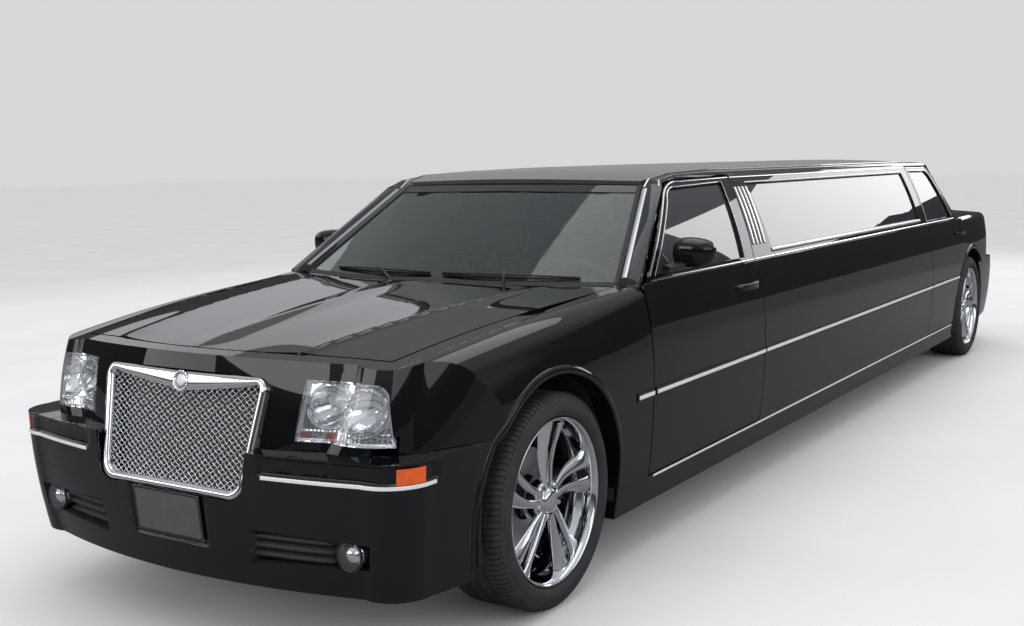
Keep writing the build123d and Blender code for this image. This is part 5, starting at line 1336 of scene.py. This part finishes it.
BARREL = [
    (0.2880, 0.1130), (0.2880, 0.1180), (0.2870, 0.1200), (0.2850, 0.1210), (0.2825, 0.1203),
    (0.2790, 0.1165), (0.2745, 0.1090), (0.2715, 0.1000), (0.2700, 0.0820), (0.2680, 0.0680),
    (0.2600, 0.0540), (0.2545, 0.0400), (0.2540, 0.0), (0.2540, -0.0700), (0.2680, -0.1000),
    (0.2800, -0.1210), (0.2880, -0.1210), (0.2880, -0.1130), (0.2790, -0.1060), (0.2790, -0.0800),
    (0.2620, -0.0600), (0.2620, 0.0400), (0.2790, 0.0600), (0.2790, 0.1060),
]
HUB = [
    (0.0740, 0.0300), (0.0740, 0.0740), (0.0720, 0.0800), (0.0670, 0.0835), (0.0480, 0.0850),
    (0.0445, 0.0870), (0.0420, 0.0930), (0.0380, 0.0985), (0.0320, 0.1020), (0.0200, 0.1045),
    (0.0060, 0.1053), (0.0005, 0.1054),
]
BRAKE_DISC = [(0.078, -0.0060), (0.168, -0.0060), (0.172, -0.0080), (0.172, -0.0300), (0.078, -0.0300)]
# A spoke's centre line as (radius, distance from the pair's middle), its widths and its places outward
CENTRE_LINE = [(0.050, 0.0130), (0.085, 0.0200), (0.120, 0.0260), (0.155, 0.0320), (0.190, 0.0375),
               (0.225, 0.0430), (0.255, 0.0480), (0.2735, 0.0515)]
BLADE_WIDTH = [0.024, 0.029, 0.034, 0.040, 0.047, 0.056, 0.066, 0.075]
BLADE_OUT = [0.0835, 0.0805, 0.0775, 0.0770, 0.0785, 0.0815, 0.0855, 0.0890]
BLADE_STEPS = 20
SPOKE_PAIRS = 5
SPOKE_START = 18
LUG_RING_R = 0.0585


def smooth_row(values, count):
    """Values at count even steps on a smooth curve through the given ones."""
    old = np.linspace(0, 1, len(values))
    new = np.linspace(0, 1, count)
    values = np.array(values, dtype=float)
    slopes = np.gradient(values, old)
    result = []
    for t in new:
        k = min(int(t * (len(old) - 1)), len(old) - 2)
        h = old[k + 1] - old[k]
        s = (t - old[k]) / h
        result.append((2 * s ** 3 - 3 * s ** 2 + 1) * values[k] + (s ** 3 - 2 * s ** 2 + s) * h * slopes[k]
                      + (3 * s ** 2 - 2 * s ** 3) * values[k + 1] + (s ** 3 - s ** 2) * h * slopes[k + 1])
    return result


def make_spokes(centre, axis_y):
    """Five pairs of twisted blades that leave the hub side by side and end apart at the rim."""
    radii, offsets = (smooth_row(row, BLADE_STEPS) for row in zip(*CENTRE_LINE))
    widths, outs = smooth_row(BLADE_WIDTH, BLADE_STEPS), smooth_row(BLADE_OUT, BLADE_STEPS)
    section = [(math.cos(t), math.sin(t)) for t in np.linspace(0, 2 * math.pi, 14, endpoint=False)]
    parts = []
    for pair in range(SPOKE_PAIRS):
        angle = 2 * math.pi * pair / SPOKE_PAIRS + math.radians(SPOKE_START)
        u = Vector((math.cos(angle), 0, math.sin(angle)))
        v = Vector((-math.sin(angle), 0, math.cos(angle)))
        for s in (-1, 1):
            verts = []
            for k, (r, c, w, o) in enumerate(zip(radii, offsets, widths, outs)):
                half_turn = math.pi * k / (BLADE_STEPS - 1)
                twist = -s * (0.10 + 0.34 * math.sin(half_turn))
                swirl = 0.16 * math.sin(half_turn * 0.5) ** 2
                base = u * math.sqrt(r * r - c * c) + v * (s * c)
                base = Vector((base.x * math.cos(swirl) - base.z * math.sin(swirl), 0,
                               base.x * math.sin(swirl) + base.z * math.cos(swirl)))
                for a, b in section:
                    flat = math.copysign(abs(a) ** 0.8, a) * w / 2
                    rise = (0.0105 if b > 0 else 0.014) * math.copysign(abs(b) ** 0.9, b)
                    tangent = flat * math.cos(twist) - rise * math.sin(twist)
                    lift = o - 0.004 + flat * math.sin(twist) + rise * math.cos(twist)
                    point = base + v * tangent
                    verts.append((centre[0] + point.x, centre[1] + axis_y * lift, centre[2] + point.z))
            parts.append((verts, turn_faces(grid_faces(len(radii), len(section), False, True), axis_y)))
    return join(parts)


def make_lugs(centre, axis_y):
    """A round seat and a hexagonal nut between every two pairs of spokes."""
    parts = []
    for k in range(SPOKE_PAIRS):
        angle = 2 * math.pi * k / SPOKE_PAIRS + math.radians(SPOKE_START + 36)
        x, z = LUG_RING_R * math.cos(angle), LUG_RING_R * math.sin(angle)
        for radius, y0, y1, sides in ((0.0105, 0.078, 0.0862, 20), (0.0078, 0.0862, 0.0960, 6)):
            ring = [(radius * math.cos(2 * math.pi * i / sides), radius * math.sin(2 * math.pi * i / sides))
                    for i in range(sides)]
            verts = [(centre[0] + x + a, centre[1] + axis_y * y, centre[2] + z + b)
                     for y in (y0, y1) for a, b in ring]
            parts.append((verts, grid_faces(2, sides, False, True) + [tuple(range(sides, 2 * sides))]))
    return join(parts)


TYRE_SIDE = [
    (0.3660, 0.1128), (0.3610, 0.1172), (0.3560, 0.1204), (0.3535, 0.1222), (0.3470, 0.1260),
    (0.3405, 0.1290), (0.3390, 0.1282), (0.3375, 0.1300), (0.3280, 0.1338), (0.3180, 0.1352),
    (0.3090, 0.1345), (0.3075, 0.1328), (0.3050, 0.1325), (0.2985, 0.1285), (0.2925, 0.1195),
    (0.2895, 0.1115), (0.2855, 0.1085), (0.2793, 0.1040),
]


TREAD_BLOCKS = 112
GROOVE_DEPTH = 0.0038
SHOULDER_R = 0.355
SHOULDER_Y = 0.070


def make_tyre(centre, axis_y):
    """A tyre with three grooves round its tread and slanting grooves across its shoulders."""
    tread = [(0.3700, -0.1035), (0.3720, -0.0970), (0.3720, -0.0760)]
    for y in (-0.048, 0.0, 0.048):
        tread += [(0.3720, y - 0.0052), (0.3652, y - 0.0045), (0.3652, y + 0.0045), (0.3720, y + 0.0052)]
    tread += [(0.3720, 0.0760), (0.3720, 0.0970), (0.3700, 0.1035)]
    profile = [(r, -y) for r, y in reversed(TYRE_SIDE)] + tread + TYRE_SIDE
    period = 2 * math.pi / TREAD_BLOCKS
    columns = []
    for k in range(TREAD_BLOCKS):
        columns += [(k * period, 0), (k * period + 0.70 * period, 0), (k * period + 0.75 * period, 1),
                    (k * period + 0.95 * period, 1)]
    verts = []
    for angle, groove in columns:
        for r, y in profile:
            cut = GROOVE_DEPTH * groove if r > SHOULDER_R and abs(y) > SHOULDER_Y else 0.0
            slant = 0.35 * period * max(0.0, abs(y) - SHOULDER_Y) / 0.05 if r > SHOULDER_R else 0.0
            turn = angle + slant
            radius = min(r, TYRE_R - 0.0001) - cut
            across = y - math.copysign(cut, y) * 0.4
            verts.append((centre[0] + radius * math.cos(turn), centre[1] + axis_y * across,
                          centre[2] + radius * math.sin(turn)))
    return verts, turn_faces(grid_faces(len(columns), len(profile), True, True), axis_y)


for axle, axle_x in (("front", FRONT_X), ("rear", REAR_X)):
    for side, sign in SIDES:
        key, body = f"{axle}_{side}", f"{axle}_wheel_{side}"
        centre = (axle_x, sign * TRACK_HALF, TYRE_R)
        shape = join([lathe(BARREL, 120, sign, centre, True), lathe(HUB, 60, sign, centre),
                      make_spokes(centre, sign)])
        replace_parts(add_piece(f"rim_{key}", *shape, CHROME, body, 40, "chrome"), f"wheel_{key}")
        add_piece(f"lugs_{key}", *make_lugs(centre, sign), CHROME, body, 35, "chrome")
        disc = lathe(BRAKE_DISC, 72, sign, centre, True)
        add_piece(f"brake_disc_{key}", *disc, BARE_STEEL, body, 30, "cast_iron")
        tyre = add_piece(f"tyre_{key}_tread", *make_tyre(centre, sign), TYRE, body, 32, "tyre")
        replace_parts(tyre, f"tyre_{key}")

# Arch lips and splash guards

ARCH_R = 0.436
GUARD_Y = 0.790
GUARD_R = 0.4405
GUARD_HALF_W = 0.115
LIP_ROWS = [(-0.0005, -0.030), (-0.0005, 0.0035), (0.0030, 0.0060), (0.0130, 0.0068), (0.0220, 0.0050),
            (0.0270, 0.0010), (0.0278, -0.003)]


def arch_side_y(axle_x, x, z):
    """Half width of the outer skin beside a wheel arch."""
    def hit(name):
        place = SKINS[name].tree.ray_cast(Vector((x, 1.5, z)), Vector((0, -1, 0)))[0]
        return place.y if place else 9.0

    if axle_x > 0:
        if z < 0.655 and x > FRONT_X:
            return hit("front_bumper")
        return min(hit("front"), hit("nose") if x > FRONT_X + 0.30 and z > 0.641 else 9.0)
    if x > REAR_DOOR[0]:
        return hit("side_left")
    if z < 0.690 and x < REAR_X:
        return hit("rear_bumper")
    return min(hit("rear"), hit("tail") if x < REAR_X - 0.50 and z > 0.641 else 9.0)


def arch_path(axle_x, front_low, rear_low):
    """Places on an arch's edge with their outward ways, from its front foot over the top to the rear."""
    path = [((1, 0), (axle_x + ARCH_R, z)) for z in np.linspace(front_low, TYRE_R, 6)[:-1]]
    for t in np.linspace(0, math.pi, 64):
        way = (math.cos(t), math.sin(t))
        path.append((way, (axle_x + ARCH_R * way[0], TYRE_R + ARCH_R * way[1])))
    return path + [((-1, 0), (axle_x - ARCH_R, z)) for z in np.linspace(TYRE_R, rear_low, 6)[1:]]


def make_arch_lip(axle_x, front_low, rear_low):
    """A rolled lip round a wheel arch's edge that follows the skins beside it."""
    verts = []
    for way, place in arch_path(axle_x, front_low, rear_low):
        for out, lift in LIP_ROWS:
            x, z = place[0] + way[0] * out, place[1] + way[1] * out
            y = arch_side_y(axle_x, x, z)
            verts.append((x, y + lift, z))
    return verts, turn_faces(grid_faces(len(verts) // len(LIP_ROWS), len(LIP_ROWS)), -1)


def make_splash_guard(axle_x, low_angle, high_angle):
    """A thin curved sheet round the back or front of a wheel, below its liner."""
    path, outs = [], []
    for t in np.linspace(math.radians(low_angle), math.radians(high_angle), 24):
        out = Vector((math.cos(t), 0, math.sin(t)))
        path.append(Vector((axle_x, GUARD_Y, TYRE_R)) + out * GUARD_R)
        outs.append(out)
    return sweep(path, outs, [(-0.001, -GUARD_HALF_W), (-0.001, GUARD_HALF_W), (0.0015, GUARD_HALF_W),
                              (0.0015, -GUARD_HALF_W)])


ARCHES = (("front", FRONT_X, 0.262, 0.215), ("rear", REAR_X, 0.215, 0.262))
for side, sign in SIDES:
    for axle, axle_x, front_low, rear_low in ARCHES:
        lip = flip_side(*make_arch_lip(axle_x, front_low, rear_low), sign)
        add_piece(f"arch_lip_{axle}_{side}", *lip, PAINT, "body", 50, "black_paint")
        guards = join([make_splash_guard(axle_x, -14, 12), make_splash_guard(axle_x, 168, 194)])
        guards = flip_side(*guards, sign)
        add_piece(f"splash_guard_{axle}_{side}", *guards, PLASTIC, "body", 40, "dark_plastic")

# Seals round the windscreen


def add_seal(name, places, width, finish, sign, crown):
    """A flat strip on the windscreen through (y, z) places."""
    path, outs = zip(*[screen_point(y, z, 0.0005) for y, z in places])
    strip(name, path, outs, width, 0.0022, finish, "body", sign, crown)


top_places = [(y, 1.396 - 0.010 * abs(y)) for y in np.linspace(-0.605, 0.605, 30)]
low_places = [(y, 1.036) for y in np.linspace(-0.770, 0.770, 30)]
side_places = [(0.788 - SCREEN_TAPER * (z - SCREEN_FOOT_Z) / SCREEN_RISE, z)
               for z in np.linspace(1.036, 1.400, 20)]
add_seal("screen_top_seal", top_places, 0.072, PAINT, 1, 0.1)
add_seal("screen_low_seal", low_places, 0.026, SEAL, 1, 0.2)
for side, sign in SIDES:
    add_seal(f"screen_side_seal_{side}", side_places, 0.026, SEAL, sign, 0.2)

# Moulding at the foot of the rear pillar, where it meets the quarter's top
PILLAR_FOOT = [(-2.556, 0.880, 1.0425), (-2.620, 0.874, 1.0435), (-2.680, 0.8655, 1.0450),
               (-2.740, 0.8545, 1.0470), (-2.800, 0.8415, 1.0490), (-2.860, 0.824, 1.0510),
               (-2.920, 0.803, 1.0528), (-2.980, 0.780, 1.0546), (-3.012, 0.767, 1.0556)]
foot = [Vector(p) for p in run(PILLAR_FOOT, 0.02)]
foot_outs = [Vector((0, 0.6, 0.8))] * len(foot)
for side, sign in SIDES:
    strip(f"pillar_foot_{side}", foot, foot_outs, 0.022, 0.006, PAINT, "body", sign, 0.5)

# Tail: lamp frames, reversing lamps, boot strip and the third brake lamp


def tail_place(y, z, lift=0.0):
    """A place on the car's rear face, the nearer of its two skins seen from behind."""
    hits = [surface_x(name, y, z, -1) for name in ("rear", "tail")]
    x = max(h for h in hits if h is not None)
    return Vector((x - lift, y, z))


def tail_patch(y0, y1, z0, z1, lift, rows=8, columns=8):
    """A raised rounded panel on the rear face."""
    verts = []
    for i, y in enumerate(np.linspace(y0, y1, columns)):
        for j, z in enumerate(np.linspace(z0, z1, rows)):
            edge = min(i, j, columns - 1 - i, rows - 1 - j)
            verts.append(tail_place(y, z, lift if edge else -0.002))
    return verts, grid_faces(columns, rows)


TAIL_OUT = Vector((-1, 0, 0))
lamp_loop = rounded_loop([(0.628, 0.790), (0.800, 0.790), (0.790, 0.978), (0.640, 0.978)], (0.02,) * 4, 8, 5)
lamp_line = [tail_place(p.x, p.y, 0.0003) for p in lamp_loop]
lamp_frame = sweep(lamp_line, [TAIL_OUT] * len(lamp_line), bar_profile(0.006, 0.003), True)
white = tail_patch(0.648, 0.775, 0.800, 0.838, 0.0025)
for side, sign in SIDES:
    add_piece(f"tail_lamp_frame_{side}", *flip_side(*lamp_frame, sign), CHROME, "body")
    add_piece(f"reversing_lamp_{side}", *flip_side(*white, sign), WHITE_LENS, "body", 50, "clear_glass")
boot_line = [tail_place(y, 0.842, 0.0003) for y in np.linspace(-0.400, 0.400, 40)]
strip("boot_strip", boot_line, [TAIL_OUT] * len(boot_line), 0.020, 0.005, CHROME, "trunk_lid")
lid_lamp = tail_patch(-0.190, 0.190, 0.962, 0.982, 0.003, 5, 20)
add_piece("third_brake_lamp", *lid_lamp, RED, "trunk_lid", 50, "red_lens")

# Seats: tuck-and-roll leather, each roll a copy of one that was filled by cloth simulation

ROLL = (0.100, 0.400, 0.100)
ROLL_PRESSURE = 5.0
ROLL_CAP = 0.012


def plain_roll(cuts=9):
    """A roll with rounded edges along Y whose ends pull in, as a mesh."""
    bm = bmesh.new()
    bmesh.ops.create_cube(bm, size=2)
    bmesh.ops.subdivide_edges(bm, edges=bm.edges[:], cuts=cuts, use_grid_fill=True)
    for vert in bm.verts:
        q = vert.co
        size = sum(abs(c) ** 5 for c in q) ** 0.2
        vert.co = Vector([c / size * half / 2 * 0.94 for c, half in zip(q, ROLL)])
    mesh = bpy.data.meshes.new("roll")
    bm.to_mesh(mesh)
    bm.free()
    return mesh


def filled_roll():
    """The plain roll blown up as cloth, its base held, as (verts, faces)."""
    mesh = plain_roll()
    faces = [tuple(p.vertices) for p in mesh.polygons]
    start = [v.co.copy() for v in mesh.vertices]
    piece = bpy.data.objects.new("roll", mesh)
    bpy.context.scene.collection.objects.link(piece)
    held = piece.vertex_groups.new(name="held")
    held.add([i for i, v in enumerate(start) if v.z < -ROLL[2] * 0.40], 1.0, "REPLACE")
    cloth = piece.modifiers.new("fill", "CLOTH")
    cloth.settings.quality = 6
    cloth.settings.mass = 0.2
    cloth.settings.tension_stiffness = 12
    cloth.settings.compression_stiffness = 12
    cloth.settings.use_pressure = True
    cloth.settings.uniform_pressure_force = ROLL_PRESSURE
    cloth.settings.effector_weights.gravity = 0
    cloth.settings.vertex_group_mass = "held"
    for number in range(1, 19):
        bpy.context.scene.frame_set(number)
    done = piece.evaluated_get(bpy.context.evaluated_depsgraph_get())
    ends = [v.co.copy() for v in done.data.vertices]
    bpy.context.scene.frame_set(1)
    bpy.data.objects.remove(piece)
    shaped = []
    for a, b in zip(start, ends):
        move = b - a
        if move.length > ROLL_CAP:
            move = move.normalized() * ROLL_CAP
        shaped.append(a + move)
    high = [max(abs(v[k]) for v in shaped) for k in range(3)]
    return [Vector([v[k] / high[k] / 2 for k in range(3)]) for v in shaped], faces


ROLL_VERTS, ROLL_FACES = filled_roll()


def roll_between(start, end, across, width, thick):
    """A roll from start to end, width wide along across and thick towards its upper face."""
    along = Vector(end) - Vector(start)
    across = Vector(across).normalized()
    up = across.cross(along.normalized()) * (-1 if across.cross(along).z < -1e-9 else 1)
    middle = (Vector(start) + Vector(end)) / 2
    verts = [tuple(middle + across * (v.x * width * 1.05) + along * v.y + up * (v.z * thick))
             for v in ROLL_VERTS]
    first = Vector(verts[ROLL_FACES[0][1]]) - Vector(verts[ROLL_FACES[0][0]])
    second = Vector(verts[ROLL_FACES[0][2]]) - Vector(verts[ROLL_FACES[0][0]])
    centre = sum((Vector(verts[i]) for i in ROLL_FACES[0]), Vector()) / len(ROLL_FACES[0])
    turned = first.cross(second).dot(centre - middle) < 0
    return verts, turn_faces(ROLL_FACES, -1 if turned else 1)


def row_of_rolls(start, end, across, total, count, thick, bolster=0.0):
    """Rolls side by side over a total width, with an outer bolster on each side where one is asked for."""
    across = Vector(across).normalized()
    widths = [(total - 2 * bolster) / count] * count
    if bolster:
        widths = [bolster] + widths + [bolster]
    parts, at = [roll_between(start, end, across, total * 0.965, thick * 0.78)], -total / 2
    for i, width in enumerate(widths):
        thicker = thick * (1.22 if bolster and i in (0, len(widths) - 1) else 1.0)
        shift = across * (at + width / 2)
        parts.append(roll_between(Vector(start) + shift, Vector(end) + shift, across, width, thicker))
        at += width
    return join(parts)


def add_pad(name, shape, sign=1):
    """A leather piece on the left side, or mirrored to the right."""
    pad = add_piece(name, *flip_side(*shape, sign), LEATHER, "body", 60, "black_leather")
    return pad


SEAT_X = 1.450
SEAT_Y = 0.425
SEAT_W = 0.520
SEAT_ROLLS = 4
BOLSTER = 0.075


def seat_place(x, y, z):
    """A place on the left front seat from (ahead of its back, left of its middle, height)."""
    return SEAT_X + x, SEAT_Y + y, z


def seat_row(start, end, thick):
    return row_of_rolls(start, end, (0, 1, 0), SEAT_W, SEAT_ROLLS, thick, BOLSTER)


cushion = seat_row(seat_place(0.108, 0, 0.383), seat_place(0.512, 0, 0.398), 0.105)
back = seat_row(seat_place(0.048, 0, 0.445), seat_place(-0.086, 0, 1.020), 0.088)
rest = roll_between(seat_place(-0.090, -0.128, 1.122), seat_place(-0.090, 0.128, 1.122), (0, 0, 1),
                    0.135, 0.078)
shell = rounded_box(seat_place(0.020, -0.225, 0.258), seat_place(0.470, 0.225, 0.345), 0.012, 3)
posts = join([tube([seat_place(-0.086, s * 0.07, 1.000), seat_place(-0.089, s * 0.07, 1.080)], 0.006)
              for s in (-1, 1)])
FRONT_PADS = (("front_cushion", cushion, 0.8), ("front_back", back, 0.8), ("head_rest", rest, 0.9))
for side, sign in SIDES:
    for name, shape, fill in FRONT_PADS:
        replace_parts(add_pad(f"{name}_{side}", shape, sign), "seats")
    add_piece(f"front_seat_base_{side}", *flip_side(*shell, sign), PLASTIC, "body", 40, "dark_plastic")
    add_piece(f"head_rest_posts_{side}", *flip_side(*posts, sign), BARE_STEEL, "body")

BENCH_WALL_X = -2.470
BENCH_WALL_Y = -0.775
SIDE_MIDDLE_X = (1.050 - 1.905) / 2


def bench_row(place, across, total, count, rows, thick):
    """Rolls of a bench between two (distance from its wall, height) places."""
    (low_out, low_z), (high_out, high_z) = rows
    return row_of_rolls(place(low_out, low_z), place(high_out, high_z), across, total, count, thick)


REAR_BENCH = (lambda out, z: (BENCH_WALL_X + out, 0, z), (0, 1, 0), 1.456, 13)
SIDE_BENCH = (lambda out, z: (SIDE_MIDDLE_X, BENCH_WALL_Y + out, z), (1, 0, 0), 2.950, 26)
for name, row_of, rows, thick in (
        ("rear_bench_cushion", REAR_BENCH, ((0.150, 0.383), (0.556, 0.393)), 0.110),
        ("rear_bench_back", REAR_BENCH, ((0.132, 0.425), (0.062, 0.885)), 0.085),
        ("side_bench_cushion", SIDE_BENCH, ((0.150, 0.383), (0.516, 0.393)), 0.110),
        ("side_bench_back", SIDE_BENCH, ((0.132, 0.425), (0.062, 0.885)), 0.085)):
    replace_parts(add_pad(name, bench_row(*row_of, rows, thick)), "seats")
PLINTHS = (((BENCH_WALL_X + 0.010, -0.725, 0.262), (BENCH_WALL_X + 0.495, 0.725, 0.345)),
           ((-1.900, BENCH_WALL_Y + 0.010, 0.262), (1.045, BENCH_WALL_Y + 0.455, 0.345)))
plinths = join([rounded_box(low, high, 0.010, 2) for low, high in PLINTHS])
add_piece("bench_plinths", *plinths, PLASTIC, "body", 40, "dark_plastic")

# Floor, light and camera

PHOTO_W = 1024
CAMERA_AT = (6.594, 2.966, 1.518)
CAMERA_YAW = math.radians(212.71)
CAMERA_DOWN = math.radians(7.63)
CAMERA_ROLL = math.radians(-0.926)
FOCAL_PIXELS = 1223.6
CENTRE_DROP_PIXELS = 10.5


def add_camera():
    data = bpy.data.cameras.new("camera")
    camera = bpy.data.objects.new("camera", data)
    bpy.context.scene.collection.objects.link(camera)
    level = math.cos(CAMERA_DOWN)
    ahead = Vector((math.cos(CAMERA_YAW) * level, math.sin(CAMERA_YAW) * level, -math.sin(CAMERA_DOWN)))
    right = ahead.cross(Vector((0, 0, 1))).normalized()
    up = right.cross(ahead)
    c, s = math.cos(CAMERA_ROLL), math.sin(CAMERA_ROLL)
    right, up = c * right + s * up, c * up - s * right
    turn = Matrix((right, up, -ahead)).transposed().to_4x4()
    camera.matrix_world = Matrix.Translation(CAMERA_AT) @ turn
    data.sensor_width = 36
    data.lens = FOCAL_PIXELS / PHOTO_W * data.sensor_width
    data.shift_y = CENTRE_DROP_PIXELS / PHOTO_W
    data.clip_end = 200
    bpy.context.scene.camera = camera


def add_floor():
    """A pale floor that looks darker in mirror-like finishes, as one lit only near the car does."""
    half = 80
    mesh = bpy.data.meshes.new("floor")
    corners = [(-half, -half, 0), (half, -half, 0), (half, half, 0), (-half, half, 0)]
    mesh.from_pydata(corners, [], [(0, 1, 2, 3)])
    floor = bpy.data.objects.new("floor", mesh)
    finish = material("pale_floor", (0.69, 0.69, 0.685), 0.75, mottle=0.03, mottle_scale=1.2)
    tree = finish.node_tree
    light = tree.nodes.new("ShaderNodeLightPath")
    mix = tree.nodes.new("ShaderNodeMix")
    mix.data_type = "RGBA"
    shader = tree.nodes["Principled BSDF"]
    ramp = shader.inputs["Base Color"].links[0].from_socket
    mix.inputs[7].default_value = (0.17, 0.17, 0.175, 1)
    tree.links.new(light.outputs["Is Glossy Ray"], mix.inputs["Factor"])
    tree.links.new(ramp, mix.inputs[6])
    tree.links.new(mix.outputs[2], shader.inputs["Base Color"])
    mesh.materials.append(finish)
    bpy.context.scene.collection.objects.link(floor)


def add_lamp(name, place, target, size, power, tint=(1, 1, 1)):
    data = bpy.data.lights.new(name, "AREA")
    data.shape = "RECTANGLE"
    data.size, data.size_y = size
    data.energy = power
    data.color = tint
    lamp = bpy.data.objects.new(name, data)
    lamp.location = place
    lamp.rotation_euler = (Vector(target) - Vector(place)).to_track_quat("-Z", "Y").to_euler()
    bpy.context.scene.collection.objects.link(lamp)


def add_world():
    """Even pale light, with a darker horizon in reflections and a plain pale backdrop."""
    world = bpy.data.worlds.new("world")
    bpy.context.scene.world = world
    world.use_nodes = True
    tree = world.node_tree
    back = tree.nodes["Background"]
    light = tree.nodes.new("ShaderNodeLightPath")
    place = tree.nodes.new("ShaderNodeTexCoord")
    split = tree.nodes.new("ShaderNodeSeparateXYZ")
    ramp = tree.nodes.new("ShaderNodeValToRGB")
    ramp.color_ramp.interpolation = "EASE"
    stops = ramp.color_ramp.elements
    stops[0].position, stops[0].color = 0.0, (0.05, 0.052, 0.056, 1)
    stops[1].position, stops[1].color = 1.0, (0.62, 0.65, 0.70, 1)
    for position, shade in ((0.12, 0.06), (0.30, 0.26), (0.55, 0.46)):
        stop = stops.new(position)
        stop.color = (shade, shade * 1.03, shade * 1.08, 1)
    tree.links.new(place.outputs["Generated"], split.inputs[0])
    tree.links.new(split.outputs["Z"], ramp.inputs["Fac"])
    even = tree.nodes.new("ShaderNodeMix")
    even.data_type = "RGBA"
    even.inputs[6].default_value = (0.97, 0.98, 1.0, 1)
    tree.links.new(light.outputs["Is Glossy Ray"], even.inputs["Factor"])
    tree.links.new(ramp.outputs["Color"], even.inputs[7])
    seen = tree.nodes.new("ShaderNodeMix")
    seen.data_type = "RGBA"
    seen.inputs[7].default_value = (0.685, 0.685, 0.69, 1)
    tree.links.new(light.outputs["Is Camera Ray"], seen.inputs["Factor"])
    tree.links.new(even.outputs[2], seen.inputs[6])
    tree.links.new(seen.outputs[2], back.inputs["Color"])
    back.inputs["Strength"].default_value = 1.0


add_camera()
add_floor()
add_world()
add_lamp("overhead", (0.5, 0.3, 7.0), (0.5, 0, 0), (10.0, 5.0), 200)
add_lamp("left_bank", (3.0, 9.5, 4.4), (0.5, 0, 0.6), (16.0, 3.4), 215, (0.88, 0.93, 1.0))
add_lamp("front_bank", (11.5, -3.0, 4.0), (3, 0, 0.6), (6.0, 2.6), 130)
add_lamp("grille_bank", (10.0, -7.0, 2.7), (4.0, 0, 0.8), (4.5, 2.4), 60)
add_lamp("right_bank", (-2.0, -9.5, 4.4), (-0.5, 0, 0.6), (16.0, 3.4), 110, (0.94, 0.97, 1.0))
add_lamp("rear_bank", (-11.5, 2.5, 4.0), (-3, 0, 0.6), (6.0, 2.6), 130)

scene = bpy.context.scene
scene.view_settings.view_transform = "Standard"
